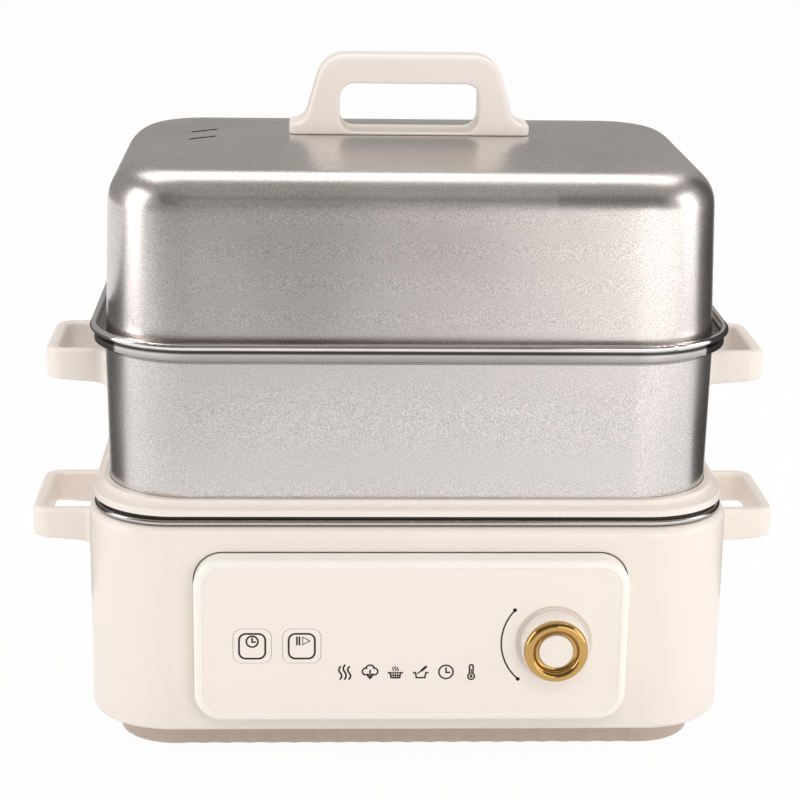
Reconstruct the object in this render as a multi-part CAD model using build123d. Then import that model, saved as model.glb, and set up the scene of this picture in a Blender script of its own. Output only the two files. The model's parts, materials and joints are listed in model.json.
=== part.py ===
from build123d import *
import os

# Electric food steamer: a base unit with a control panel, a lift-out pot, an
# adapter ring, a perforated basket and a domed lid, stacked along +Z.
# Millimetres. The front faces -Y and the table is at Z = 0. "Inset" is a
# distance inwards from the base unit's outline, seen from above.

# Outline of the base unit, seen from above
BODY_WIDTH = 340.0
BODY_DEPTH = 231.3
BODY_CORNER = 45.0

# Fits
SEAT_GAP = 0.05
RUN_FIT = 0.05
SCREW_FIT = 0.05
HOLE_PLAY = 0.25
WINDOW_PLAY = 0.2
CUT_PAST = 1.0
MERGE = 1.0
SCREW_TIP_GAP = 1.0

# Base unit heights and walls
FOOT_LIFT = 1.2
SKIRT_HEIGHT = 13.9
HOUSING_HEIGHT = 112.4
HOUSING_WALL = 3.0
HOUSING_TOP_FILLET = 4.5
HOUSING_BOTTOM_FILLET = 2.0
HOUSING_FOOT_INSET = 26.0
WELL_INSET = 8.5
REBATE_WIDTH = 2.2

# Bottom cover, its fluted skirt, feet and screws
SKIRT_INSET = 13.7
SKIRT_TAPER = 1.0
SKIRT_WALL = 2.5
COVER_FLOOR = 2.5
FLUTE_PITCH = 12.1
FLUTE_RADIUS = 18.5
FLUTE_DEPTH = 0.7
FOOT_RADIUS = 9.0
FOOT_RECESS = 1.2
FOOT_EDGE = 0.5
FOOT_X = 112.0
FOOT_Y = 72.0
COVER_SCREW_INSET = 22.0
COVER_SCREW_X = 120.0
COVER_TUBE_RADIUS = 5.0
BOSS_RADIUS = 4.5
BOSS_HEIGHT = 9.0
BOSS_FLOOR = 1.0
SCREW_RADIUS = 1.5
SCREW_HEAD_RADIUS = 2.8
SCREW_HEAD_HEIGHT = 2.0
COVER_SCREW_RECESS = 5.0
VENT_LENGTH = 34.0
VENT_WIDTH = 3.0
VENT_PITCH = 8.0
VENT_COUNT = 7
VENT_X = 55.0
VENT_Y = 62.0

# Heat shield, heating plate and its posts
SHIELD_SHEET = 0.8
PLATE_LENGTH = 240.0
PLATE_DEPTH = 140.0
PLATE_CORNER = 22.0
PLATE_THICKNESS = 6.0
PLATE_EDGE = 0.8
PLATE_STAND = 11.2
PLATE_POST_X = 100.0
PLATE_POST_Y = 50.0
PLATE_POST_RADIUS = 3.5
PLATE_STUD_RADIUS = 2.0
NUT_FLATS_RADIUS = 4.0
NUT_HEIGHT = 3.0
STUD_PAST_NUT = 1.0
SHIELD_POST_X = 112.0
SHIELD_POST_Y = 40.0
SHIELD_POST_RADIUS = 4.5
SHIELD_STUD_LENGTH = 3.0

# Tubular heating element under the plate
ELEMENT_RADIUS = 3.2
ELEMENT_LENGTH = 190.0
ELEMENT_DEPTH = 84.0
ELEMENT_BEND = 20.0
TERMINAL_X = 18.0
TERMINAL_BEND = 7.0
TERMINAL_DROP = 15.0
TERMINAL_HOLE_RADIUS = 6.0

# Spring-loaded temperature probe in the middle of the plate
PROBE_RADIUS = 11.0
PROBE_HEIGHT = 8.0
PROBE_WALL = 1.2
PROBE_GAP = 0.8
PROBE_STEM_RADIUS = 3.0
PROBE_STEM_LENGTH = 23.0
PROBE_BELOW_POT = 0.1
GUIDE_FLANGE_RADIUS = 9.5
GUIDE_FLANGE = 2.6
GUIDE_TUBE_RADIUS = 5.2
GUIDE_TUBE_LENGTH = 8.0
SPRING_RADIUS = 5.6
SPRING_WIRE_RADIUS = 0.5
SPRING_TURNS = 5

# Thermostat and thermal fuse under the plate
THERMOSTAT_RADIUS = 8.0
THERMOSTAT_HEIGHT = 7.0
THERMOSTAT_X = 58.0
THERMOSTAT_EDGE = 0.8
TAB = (0.8, 5.0, 3.0)
TAB_REACH = 2.0
TAB_SPREAD = 4.0
FUSE_RADIUS = 2.0
FUSE_LENGTH = 12.0
FUSE_SPAN = 24.0
FUSE_WIRE_RADIUS = 0.6
FUSE_X = -58.0

# Pot
POT_WALL_INSET = 11.0
POT_SHEET = 1.2
POT_RIM_INSET = 3.0
POT_BEAD_RADIUS = 1.4
POT_BEAD_FILLET = 1.25
POT_RIM_RISE = 3.6
POT_HEIGHT = 72.05
POT_BOTTOM_FILLET = 9.0

# Adapter ring and its seal
RING_INSET = 2.4
RING_CORNER = 45.0
SEAL_HEIGHT = 2.4
SEAL_INSET = 5.6
SEAL_WIDTH = 4.6
RING_EDGE_HEIGHT = 3.6
RING_EDGE_FILLET = 1.4
RING_SLOPE_RISE = 1.1
COLLAR_INSET = 7.0
COLLAR_HEIGHT = 2.7
COLLAR_FILLET = 0.7
BASKET_POCKET_DEPTH = 4.4
RING_SKIRT_DEPTH = 5.4
RING_SKIRT_WALL = 2.4
RING_SKIRT_PLAY = 1.0

# Steamer basket
BASKET_INSET_LOW = 10.5
BASKET_INSET_HIGH = 9.7
BASKET_CORNER = 46.0
BASKET_PLAY = 0.3
BASKET_SHEET = 1.0
BASKET_BOTTOM_FILLET = 3.0
BASKET_WALL_HEIGHT = 77.0
SHOULDER_HEIGHT = 2.6
NECK_INSET = 3.8
NECK_HEIGHT = 7.0
RIM_BEAD_RADIUS = 1.7
RIM_BEAD_FILLET = 1.6
BASKET_RIM_INSET = 1.7
HOLE_RADIUS = 3.0
HOLE_PITCH = 19.0
HOLE_COLUMNS = 15
HOLE_ROWS = 9

# Lid
LID_INSET_LOW = 9.9
LID_INSET_HIGH = 12.9
LID_CORNER = 45.0
LID_SHEET = 1.0
LID_HEM_INSET = 7.4
LID_HEIGHT = 93.25
LID_TOP_FILLET = 21.0
CROWN_INSET = 34.0
CROWN_MID_DEPTH = 107.3
CROWN_MID_SHARE = 0.62
PLATEAU_DEPTH = 49.3
PLATEAU_CORNER = 18.0
CROWN_HEIGHT = 6.0
SLOT_LENGTH = 15.0
SLOT_WIDTH = 3.6
SLOT_X = -111.0
SLOT_Y = (-10.0, 14.0)

# Lid handle
HANDLE_LENGTH = 129.2
HANDLE_HEIGHT = 42.4
HANDLE_TOP_DEPTH = 19.0
HANDLE_BASE_DEPTH = 28.0
HANDLE_BASE_HEIGHT = 5.6
HANDLE_BASE_CORNER = 4.0
HANDLE_TOE = 7.8
HANDLE_LEG_LOW_X = HANDLE_LENGTH / 2 - HANDLE_TOE
HANDLE_LEG_LEAN = 10.6
HANDLE_LEG_HIGH_X = HANDLE_LEG_LOW_X - HANDLE_LEG_LEAN
HANDLE_TOP_RADIUS = 16.0
HANDLE_FLARE_RADIUS = 9.0
GRIP_OPENING_FROM_END = 27.2
GRIP_OPENING_X = HANDLE_LENGTH / 2 - GRIP_OPENING_FROM_END
GRIP_OPENING_LOW = 1.8
GRIP_OPENING_TOP = 27.2
GRIP_OPENING_CORNER = 7.5
GRIP_EDGE = 3.2
HANDLE_SCREW_FROM_END = 17.6
HANDLE_SCREW_X = HANDLE_LENGTH / 2 - HANDLE_SCREW_FROM_END
HANDLE_SCREW_RADIUS = 2.0
HANDLE_SCREW_LENGTH = 16.0
HANDLE_SCREW_HEAD = 4.0
HANDLE_SCREW_EDGE = 1.0
WASHER_RADIUS = 7.0
WASHER_THICKNESS = 1.0

# Side handles: reach is measured from the wall that carries them
BASE_HANDLE_REACH = 35.8
BASE_HANDLE_HALF_WIDTH = 36.5
BASE_HANDLE_DROP = 34.8
BASKET_HANDLE_REACH = 35.8
BASKET_HANDLE_HALF_WIDTH = 34.0
BASKET_HANDLE_DROP = 30.9
SIDE_HANDLE_HEIGHT = 18.6
SIDE_HANDLE_BAR = 7.0
SIDE_HANDLE_CORNER = 10.0
SIDE_HANDLE_INNER_CORNER = 5.0
SIDE_HANDLE_RISE = 2.4
SIDE_HANDLE_EDGE = 1.8
FLARE_RADIUS = 5.0
FLARE_PAD = 2.4
FLARE_DROP = 2.2
SIDE_SCREW_RADIUS = 1.6
SIDE_SCREW_GRIP = 11.0
SIDE_SCREW_HEAD_RADIUS = 3.2
SIDE_SCREW_HEAD_HEIGHT = 1.6
WALL_CUT = 4.0

# Control panel on the front
PANEL_WIDTH = 225.4
PANEL_HEIGHT = 89.1
PANEL_CORNER = 15.0
PANEL_BELOW_MIDDLE = 1.05
PANEL_STAND = 12.0
PANEL_SEAM = 0.5
PANEL_EDGE = 3.0
PANEL_RIM = 3.4
PANEL_LEDGE = 3.8
PLUG_INSET = 4.2
FRONT_PLATE_THICKNESS = 3.0
FRONT_PLATE_EDGE = 0.5
BUTTON_FROM_EDGE = 30.3
BUTTON_PITCH = 25.6
BUTTON_BELOW = 2.25
BUTTON_WIDTH = 19.6
BUTTON_HEIGHT = 18.8
BUTTON_CORNER = 4.5
BUTTON_PROUD = 0.25
BUTTON_EDGE = 0.2
BUTTON_FLANGE = 1.2
BUTTON_STEM_RADIUS = 1.2
BUTTON_TRAVEL = 0.5

# Control board behind the panel and what it carries
BOARD_SETBACK = 6.5
BOARD_THICKNESS = 1.6
CONTROL_BOARD_MARGIN = 4.4
BOARD_BOSS_RADIUS = 3.2
BOARD_BOSS_INSET = 6.0
SWITCH_SIDE = 6.0
SWITCH_HEIGHT = 3.5
SWITCH_ENTRY = 1.0
LED_COUNT = 6
LED_PITCH = 13.16
LED_X = -1.6
LED_BELOW = 16.85
LED_LENGTH = 3.0
LED_WIDTH = 2.0
LED_HEIGHT = 1.4
CHIP_SIDE = 12.0
CHIP_HEIGHT = 1.6

# Selector knob and its encoder
KNOB_FROM_EDGE = 38.9
KNOB_BELOW = 0.45
DISH_RADIUS = 20.2
DISH_FLOOR_RADIUS = 18.4
DISH_DEPTH = 1.6
KNOB_RADIUS = 17.3
KNOB_GAP = 0.6
KNOB_LENGTH = 12.4
KNOB_WALL = 2.2
KNOB_EDGE = 1.0
KNOB_HUB_RADIUS = 5.6
RING_RADIUS = 16.5
RING_BORE = 9.2
RING_SEAT_DEPTH = 1.0
RING_BEAD_RADIUS = 2.6
RING_BEAD_HEIGHT = 2.1
RING_CONE_LOW = 0.9
RING_CONE_HIGH = 2.0
RING_SCOOP = 0.35
CAP_RADIUS = 8.9
CAP_HEIGHT = 2.4
CAP_EDGE = 0.6
ENCODER_SIDE = 12.0
ENCODER_HEIGHT = 6.0
BUSHING_RADIUS = 4.5
BUSHING_LENGTH = 1.8
SHAFT_RADIUS = 3.0
SHAFT_ENTRY = 4.0

# Power inlet at the back
INLET_X = 90.0
INLET_RISE = 15.1
INLET_WIDTH = 27.0
INLET_HEIGHT = 18.5
INLET_CORNER = 3.0
INLET_DEPTH = 20.0
INLET_FLANGE_WIDTH = 44.0
INLET_FLANGE_HEIGHT = 21.5
INLET_FLANGE = 2.4
SOCKET_WIDTH = 23.0
SOCKET_HEIGHT = 14.5
SOCKET_DEPTH = 16.0
PIN_SPACING = 14.0
PIN_WIDTH = 4.0
PIN_THICKNESS = 2.0
PIN_LENGTH = 22.0
PIN_TAIL = 4.0
EARTH_RISE = 4.0
INLET_SCREW_X = 17.5
INLET_SCREW_LENGTH = 10.0
INLET_SCREW_HEAD = 1.0

# Power board on the bottom cover; places on it are measured from its middle
POWER_BOARD_X = -62.0
POWER_BOARD_Y = 34.0
POWER_BOARD_WIDTH = 84.0
POWER_BOARD_DEPTH = 76.0
POWER_BOARD_STAND = 7.0
STANDOFF_RADIUS = 3.2
STANDOFF_INSET = 5.0
RELAY = (20.0, 16.0, 15.0)
RELAY_AT = (-18.0, 20.0)
RELAY_EDGE = 0.8
TRANSFORMER = (24.0, 20.0, 17.0)
TRANSFORMER_AT = (-16.0, -14.0)
CAPACITOR = (18.0, 8.0, 13.0)
CAPACITOR_AT = (20.0, -20.0)
LEAD_RADIUS = 1.3
MAINS_ENDS = ((34.0, 16.0), (34.0, 6.0))
MAINS_RISE = (9.0, 5.0)
MAINS_BENDS = (12.0, 4.0)
HEATER_ENDS = ((16.0, 16.0), (16.0, 2.0))
HEATER_OVER_MAINS = 6.0
HEATER_BENDS = (3.0, 3.0)
RIBBON_RADIUS = 1.1
RIBBON_WIRES = 4
RIBBON_PITCH = 3.0
RIBBON_END = (14.0, -28.0)
RIBBON_BELOW_PANEL = 20.0
RIBBON_LOW = 12.0
RIBBON_FALL = 3.0
RIBBON_BENDS = (2.2, 8.0, 3.0)

# Levels and reaches that follow from the sizes above
HALF_WIDTH = BODY_WIDTH / 2
HALF_DEPTH = BODY_DEPTH / 2
HOUSING_Z = FOOT_LIFT + SKIRT_HEIGHT
HOUSING_TOP = HOUSING_Z + HOUSING_HEIGHT
COVER_TOP = FOOT_LIFT + COVER_FLOOR
POT_RIM_TOP = HOUSING_TOP + POT_RIM_RISE
POT_Z = POT_RIM_TOP - POT_HEIGHT
PLATE_TOP = POT_Z - SEAT_GAP
PLATE_Z = PLATE_TOP - PLATE_THICKNESS
SHIELD_FLOOR_Z = PLATE_Z - PLATE_STAND - SHIELD_SHEET
SEAL_Z = POT_RIM_TOP + SEAT_GAP
RING_Z = SEAL_Z + SEAL_HEIGHT
RING_EDGE_Z = RING_Z + RING_EDGE_HEIGHT
COLLAR_Z = RING_EDGE_Z + RING_SLOPE_RISE
COLLAR_TOP = COLLAR_Z + COLLAR_HEIGHT
POCKET_Z = COLLAR_TOP - BASKET_POCKET_DEPTH
BASKET_Z = POCKET_Z + SEAT_GAP
SHOULDER_Z = BASKET_Z + BASKET_WALL_HEIGHT
NECK_Z = SHOULDER_Z + SHOULDER_HEIGHT
RIM_Z = NECK_Z + NECK_HEIGHT
HEM_Z = NECK_Z + SEAT_GAP
LID_TOP_Z = HEM_Z + LID_HEIGHT
PLATEAU_Z = LID_TOP_Z + CROWN_HEIGHT
CROWN_MID_INSET = (BODY_DEPTH - CROWN_MID_DEPTH) / 2
PLATEAU_INSET = (BODY_DEPTH - PLATEAU_DEPTH) / 2
BASE_HANDLE_LOW_Z = HOUSING_TOP - BASE_HANDLE_DROP
BASKET_HANDLE_LOW_Z = SHOULDER_Z - BASKET_HANDLE_DROP
PANEL_Z = HOUSING_Z + HOUSING_HEIGHT / 2 - PANEL_BELOW_MIDDLE
BUTTON_X = (BUTTON_FROM_EDGE - PANEL_WIDTH / 2, BUTTON_FROM_EDGE + BUTTON_PITCH - PANEL_WIDTH / 2)
BUTTON_Z = PANEL_Z - BUTTON_BELOW
LED_Z = PANEL_Z - LED_BELOW
KNOB_X = PANEL_WIDTH / 2 - KNOB_FROM_EDGE
KNOB_Z = PANEL_Z - KNOB_BELOW
CONTROL_BOARD_WIDTH = PANEL_WIDTH - 2 * (PANEL_RIM + PANEL_LEDGE + CONTROL_BOARD_MARGIN)
CONTROL_BOARD_HEIGHT = PANEL_HEIGHT - 2 * (PANEL_RIM + PANEL_LEDGE + CONTROL_BOARD_MARGIN)
INLET_Z = HOUSING_Z + INLET_RISE
PANEL_FACE = HALF_DEPTH + PANEL_STAND
FRONT_PLATE_BACK = PANEL_FACE - FRONT_PLATE_THICKNESS
BOARD_FACE = FRONT_PLATE_BACK - BOARD_SETBACK
BOARD_BACK = BOARD_FACE - BOARD_THICKNESS
DISH_FACE = PANEL_FACE - DISH_DEPTH
KNOB_BACK = DISH_FACE + KNOB_GAP
KNOB_FACE = KNOB_BACK + KNOB_LENGTH
RING_SEAT = KNOB_FACE - RING_SEAT_DEPTH
KNOB_REACH = RING_SEAT + RING_BEAD_HEIGHT + RING_BEAD_RADIUS
BACK_REACH = HALF_DEPTH + INLET_FLANGE + INLET_SCREW_HEAD
POWER_BOARD_Z = COVER_TOP + POWER_BOARD_STAND
POWER_BOARD_TOP = POWER_BOARD_Z + BOARD_THICKNESS
PROBE_TOP = POT_Z - PROBE_BELOW_POT
SWITCH_BORE_DEPTH = SWITCH_ENTRY + BUTTON_TRAVEL + HOLE_PLAY
GUIDE_TOP = SHIELD_FLOOR_Z + SHIELD_SHEET + GUIDE_FLANGE
Y_SHIFT = (KNOB_REACH - BACK_REACH) / 2

COVER_SCREWS = [
    (x, y)
    for x in (-COVER_SCREW_X, COVER_SCREW_X)
    for y in (COVER_SCREW_INSET - HALF_DEPTH, HALF_DEPTH - COVER_SCREW_INSET)
] + [
    (COVER_SCREW_INSET - HALF_WIDTH, 0.0),
    (HALF_WIDTH - COVER_SCREW_INSET, 0.0),
]


def four(x, y):
    """The four points of a rectangle about the middle."""
    return [(i * x, j * y) for i in (-1, 1) for j in (-1, 1)]


def outline(inset, corner=None):
    """The body outline moved inwards, with its own or a given corner radius."""
    radius = BODY_CORNER - inset if corner is None else corner
    return RectangleRounded(BODY_WIDTH - 2 * inset, BODY_DEPTH - 2 * inset, radius)


def slab(inset, z0, z1, corner=None):
    """A flat-sided block of the body outline between two heights."""
    return extrude(Pos(0, 0, z0) * outline(inset, corner), amount=z1 - z0)


def frustum(inset0, inset1, z0, z1, corner0, corner1):
    """A block whose outline changes steadily between two heights."""
    low = Pos(0, 0, z0) * outline(inset0, corner0)
    high = Pos(0, 0, z1) * outline(inset1, corner1)
    return loft([low.face(), high.face()], ruled=True)


def post(x, y, z0, z1, radius):
    """An upright cylinder."""
    return Pos(x, y, (z0 + z1) / 2) * Cylinder(radius, z1 - z0)


def rod_front(x, z, f0, f1, radius):
    """A cylinder along Y between two distances in front of the middle."""
    return Pos(x, -(f0 + f1) / 2, z) * Rot(90, 0, 0) * Cylinder(radius, f1 - f0)


def rod_side(y, z, x0, x1, radius):
    """A cylinder along X."""
    return Pos((x0 + x1) / 2, y, z) * Rot(0, 90, 0) * Cylinder(radius, x1 - x0)


def block(x, y, z, size):
    """A box that stands on z, centred on x and y."""
    return Pos(x, y, z + size[2] / 2) * Box(*size)


def front(sketch, x, z, f0, f1):
    """A sketch drawn in X and Z, extruded between two distances to the front."""
    plane = Plane(origin=(x, -f0, z), x_dir=(1, 0, 0), z_dir=(0, -1, 0))
    return extrude(plane * sketch, amount=f1 - f0)


def panel_outline(inset):
    """The control panel's outline moved inwards."""
    return RectangleRounded(PANEL_WIDTH - 2 * inset, PANEL_HEIGHT - 2 * inset, PANEL_CORNER - inset)


def panel_slab(inset, f0, f1):
    """A block of the panel outline between two distances to the front."""
    return front(panel_outline(inset), 0, PANEL_Z, f0, f1)


def wire(points, radius, bends):
    """A round wire or tube along straight runs joined by arcs."""
    path = FilletPolyline(*points, radius=bends)
    section = Plane(origin=path @ 0, z_dir=path % 0) * Circle(radius)
    return sweep(section, path=path)


def at_front(part):
    """The edges of a part's most forward face group."""
    return part.edges().group_by(Axis.Y)[0]


def make_outer_housing():
    shell = slab(0, HOUSING_Z, HOUSING_TOP)
    shell = fillet(shell.edges().group_by(Axis.Z)[-1], HOUSING_TOP_FILLET)
    shell = fillet(shell.edges().group_by(Axis.Z)[0], HOUSING_BOTTOM_FILLET)
    shell -= slab(HOUSING_WALL, HOUSING_Z + HOUSING_WALL, HOUSING_TOP - HOUSING_WALL)
    shell -= slab(WELL_INSET, HOUSING_TOP - HOUSING_WALL - CUT_PAST, HOUSING_TOP + CUT_PAST)
    shell -= slab(WELL_INSET - REBATE_WIDTH, HOUSING_TOP - SHIELD_SHEET, HOUSING_TOP + CUT_PAST)
    shell -= slab(HOUSING_FOOT_INSET, HOUSING_Z - CUT_PAST, HOUSING_Z + HOUSING_WALL + CUT_PAST)
    for x, y in COVER_SCREWS:
        shell += post(x, y, HOUSING_Z, HOUSING_Z + BOSS_HEIGHT, BOSS_RADIUS)
        shell -= post(x, y, HOUSING_Z - CUT_PAST, HOUSING_Z + BOSS_HEIGHT - BOSS_FLOOR,
                      SCREW_RADIUS + SCREW_FIT)
    shell -= panel_slab(PLUG_INSET - WINDOW_PLAY, HALF_DEPTH - HOUSING_WALL - CUT_PAST, HALF_DEPTH + CUT_PAST)
    for side in (-1, 1):
        for y in base_screw_rows():
            wall = side * HALF_WIDTH
            shell -= rod_side(y, base_screw_z(), wall - WALL_CUT, wall + WALL_CUT,
                              SIDE_SCREW_RADIUS + HOLE_PLAY)
    window = RectangleRounded(INLET_WIDTH + 2 * WINDOW_PLAY, INLET_HEIGHT + 2 * WINDOW_PLAY, INLET_CORNER)
    shell -= front(window, INLET_X, INLET_Z, -HALF_DEPTH - CUT_PAST, -HALF_DEPTH + HOUSING_WALL + CUT_PAST)
    for x in (-INLET_SCREW_X, INLET_SCREW_X):
        shell -= rod_front(INLET_X + x, INLET_Z, -HALF_DEPTH - CUT_PAST,
                           -HALF_DEPTH + HOUSING_WALL + CUT_PAST,
                           SCREW_RADIUS + SCREW_FIT)
    return shell


def fluted_outline(inset):
    """The skirt outline with shallow upright flutes along its straight sides."""
    sketch = outline(inset, BODY_CORNER - SKIRT_INSET)
    long_side = HALF_DEPTH - inset + FLUTE_RADIUS - FLUTE_DEPTH
    short_side = HALF_WIDTH - inset + FLUTE_RADIUS - FLUTE_DEPTH
    long_count = int((BODY_WIDTH - 2 * BODY_CORNER) / FLUTE_PITCH)
    short_count = int((BODY_DEPTH - 2 * BODY_CORNER) / FLUTE_PITCH)
    places = [((i - (long_count - 1) / 2) * FLUTE_PITCH, side * long_side)
              for i in range(long_count) for side in (-1, 1)]
    places += [(side * short_side, (i - (short_count - 1) / 2) * FLUTE_PITCH)
               for i in range(short_count) for side in (-1, 1)]
    return sketch - [Pos(x, y) * Circle(FLUTE_RADIUS) for x, y in places]


def make_bottom_cover():
    low = Pos(0, 0, FOOT_LIFT) * fluted_outline(SKIRT_INSET + SKIRT_TAPER)
    high = Pos(0, 0, HOUSING_Z) * fluted_outline(SKIRT_INSET)
    cover = loft([low.face(), high.face()], ruled=True)
    inner = SKIRT_INSET + SKIRT_WALL + FLUTE_DEPTH
    inner_corner = BODY_CORNER - inner
    cover -= frustum(inner + SKIRT_TAPER, inner, COVER_TOP, HOUSING_Z + CUT_PAST, inner_corner, inner_corner)
    for x, y in COVER_SCREWS:
        cover += post(x, y, FOOT_LIFT, HOUSING_Z, COVER_TUBE_RADIUS)
        cover -= post(x, y, 0, HOUSING_Z + CUT_PAST, SCREW_RADIUS + HOLE_PLAY)
        cover -= post(x, y, 0, FOOT_LIFT + COVER_SCREW_RECESS, SCREW_HEAD_RADIUS + HOLE_PLAY)
    for x, y in four(FOOT_X, FOOT_Y):
        cover -= post(x, y, 0, FOOT_LIFT + FOOT_RECESS, FOOT_RADIUS + SCREW_FIT)
    for x, y in power_board_holes():
        cover += post(x, y, FOOT_LIFT, POWER_BOARD_Z, STANDOFF_RADIUS)
        cover -= post(x, y, COVER_TOP, POWER_BOARD_Z + CUT_PAST, SCREW_RADIUS + SCREW_FIT)
    for side in (-1, 1):
        for i in range(VENT_COUNT):
            x = side * VENT_X + (i - (VENT_COUNT - 1) / 2) * VENT_PITCH
            slot = Rot(0, 0, 90) * SlotOverall(VENT_LENGTH, VENT_WIDTH)
            cover -= extrude(Pos(x, -VENT_Y, 0) * slot, amount=COVER_TOP + CUT_PAST)
    return cover


def make_rubber_feet():
    feet = []
    for x, y in four(FOOT_X, FOOT_Y):
        foot = post(x, y, 0, FOOT_LIFT + FOOT_RECESS, FOOT_RADIUS)
        feet.append(fillet(foot.edges().group_by(Axis.Z)[0], FOOT_EDGE))
    return feet


def make_cover_screws():
    head = FOOT_LIFT + COVER_SCREW_RECESS
    tip = HOUSING_Z + BOSS_HEIGHT - BOSS_FLOOR - SCREW_TIP_GAP
    return [
        post(x, y, head - SCREW_HEAD_HEIGHT, head, SCREW_HEAD_RADIUS) + post(x, y, head, tip, SCREW_RADIUS)
        for x, y in COVER_SCREWS
    ]


def make_heat_shield():
    outer = WELL_INSET + SCREW_FIT
    shield = slab(WELL_INSET - REBATE_WIDTH + HOLE_PLAY, HOUSING_TOP - SHIELD_SHEET, HOUSING_TOP)
    shield += slab(outer, SHIELD_FLOOR_Z, HOUSING_TOP)
    shield -= slab(outer + SHIELD_SHEET, SHIELD_FLOOR_Z + SHIELD_SHEET, HOUSING_TOP + CUT_PAST)
    top = SHIELD_FLOOR_Z + SHIELD_SHEET + CUT_PAST
    shield -= post(0, 0, SHIELD_FLOOR_Z - CUT_PAST, top, GUIDE_TUBE_RADIUS + HOLE_PLAY)
    for x in (-TERMINAL_X, TERMINAL_X):
        shield -= post(x, ELEMENT_DEPTH / 2, SHIELD_FLOOR_Z - CUT_PAST, top, TERMINAL_HOLE_RADIUS)
    for x, y in four(PLATE_POST_X, PLATE_POST_Y) + four(SHIELD_POST_X, SHIELD_POST_Y):
        shield -= post(x, y, SHIELD_FLOOR_Z - CUT_PAST, top, PLATE_STUD_RADIUS + HOLE_PLAY)
    return shield


def make_shield_posts():
    top = SHIELD_FLOOR_Z + SHIELD_SHEET + SHIELD_STUD_LENGTH
    return [
        post(x, y, COVER_TOP, SHIELD_FLOOR_Z, SHIELD_POST_RADIUS)
        + post(x, y, SHIELD_FLOOR_Z, top, PLATE_STUD_RADIUS)
        for x, y in four(SHIELD_POST_X, SHIELD_POST_Y)
    ]


def make_heating_plate():
    plate = extrude(Pos(0, 0, PLATE_Z) * RectangleRounded(PLATE_LENGTH, PLATE_DEPTH, PLATE_CORNER),
                    amount=PLATE_THICKNESS)
    plate = chamfer(plate.edges().group_by(Axis.Z)[-1], PLATE_EDGE)
    return plate - post(0, 0, PLATE_Z - CUT_PAST, PLATE_TOP + CUT_PAST, PROBE_RADIUS + PROBE_GAP)


def make_plate_posts():
    nut_z = SHIELD_FLOOR_Z - NUT_HEIGHT
    return [
        post(x, y, SHIELD_FLOOR_Z + SHIELD_SHEET, PLATE_Z, PLATE_POST_RADIUS)
        + post(x, y, nut_z - STUD_PAST_NUT, SHIELD_FLOOR_Z + SHIELD_SHEET, PLATE_STUD_RADIUS)
        for x, y in four(PLATE_POST_X, PLATE_POST_Y)
    ]


def make_plate_nuts():
    nut_z = SHIELD_FLOOR_Z - NUT_HEIGHT
    return [
        extrude(Pos(x, y, nut_z) * RegularPolygon(NUT_FLATS_RADIUS, 6), amount=NUT_HEIGHT)
        - post(x, y, nut_z - CUT_PAST, nut_z + NUT_HEIGHT + CUT_PAST, PLATE_STUD_RADIUS + SCREW_FIT)
        for x, y in four(PLATE_POST_X, PLATE_POST_Y)
    ]


def make_heating_element():
    z = PLATE_Z - ELEMENT_RADIUS - SEAT_GAP
    low = z - TERMINAL_DROP
    x, y = ELEMENT_LENGTH / 2, ELEMENT_DEPTH / 2
    points = [(TERMINAL_X, y, low), (TERMINAL_X, y, z), (x, y, z), (x, -y, z),
              (-x, -y, z), (-x, y, z), (-TERMINAL_X, y, z), (-TERMINAL_X, y, low)]
    bends = [TERMINAL_BEND] + [ELEMENT_BEND] * 4 + [TERMINAL_BEND]
    return wire(points, ELEMENT_RADIUS, bends)


def make_temperature_probe():
    cup = post(0, 0, PROBE_TOP - PROBE_HEIGHT, PROBE_TOP, PROBE_RADIUS)
    cup = fillet(cup.edges().group_by(Axis.Z)[-1], PROBE_WALL)
    cup -= post(0, 0, PROBE_TOP - PROBE_HEIGHT - CUT_PAST, PROBE_TOP - PROBE_WALL, PROBE_RADIUS - PROBE_WALL)
    return cup + post(0, 0, PROBE_TOP - PROBE_STEM_LENGTH, PROBE_TOP - PROBE_WALL / 2, PROBE_STEM_RADIUS)


def make_probe_spring():
    height = PROBE_TOP - PROBE_WALL - GUIDE_TOP - 2 * (SPRING_WIRE_RADIUS + SEAT_GAP)
    path = Helix(height / SPRING_TURNS, height, SPRING_RADIUS)
    section = Plane(origin=path @ 0, z_dir=path % 0) * Circle(SPRING_WIRE_RADIUS)
    coil = sweep(section, path=path, is_frenet=True)
    return Pos(0, 0, GUIDE_TOP + SPRING_WIRE_RADIUS + SEAT_GAP) * coil


def make_probe_guide():
    floor = SHIELD_FLOOR_Z + SHIELD_SHEET
    guide = post(0, 0, floor, GUIDE_TOP, GUIDE_FLANGE_RADIUS)
    guide += post(0, 0, floor - GUIDE_TUBE_LENGTH, floor, GUIDE_TUBE_RADIUS)
    bore = post(0, 0, floor - GUIDE_TUBE_LENGTH - CUT_PAST, GUIDE_TOP + CUT_PAST, PROBE_STEM_RADIUS + RUN_FIT)
    return guide - bore


def make_thermostat():
    top = PLATE_Z - SEAT_GAP
    can = post(THERMOSTAT_X, 0, top - THERMOSTAT_HEIGHT, top, THERMOSTAT_RADIUS)
    can = fillet(can.edges().group_by(Axis.Z)[-1], THERMOSTAT_EDGE)
    for x in (-TAB_SPREAD, TAB_SPREAD):
        can += block(THERMOSTAT_X + x, 0, top - THERMOSTAT_HEIGHT - TAB_REACH, TAB)
    return can


def make_thermal_fuse():
    z = PLATE_Z - SEAT_GAP - FUSE_RADIUS
    half = FUSE_LENGTH / 2
    reach = FUSE_SPAN / 2
    fuse = rod_side(0, z, FUSE_X - half, FUSE_X + half, FUSE_RADIUS)
    return fuse + rod_side(0, z, FUSE_X - reach, FUSE_X + reach, FUSE_WIRE_RADIUS)


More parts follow.
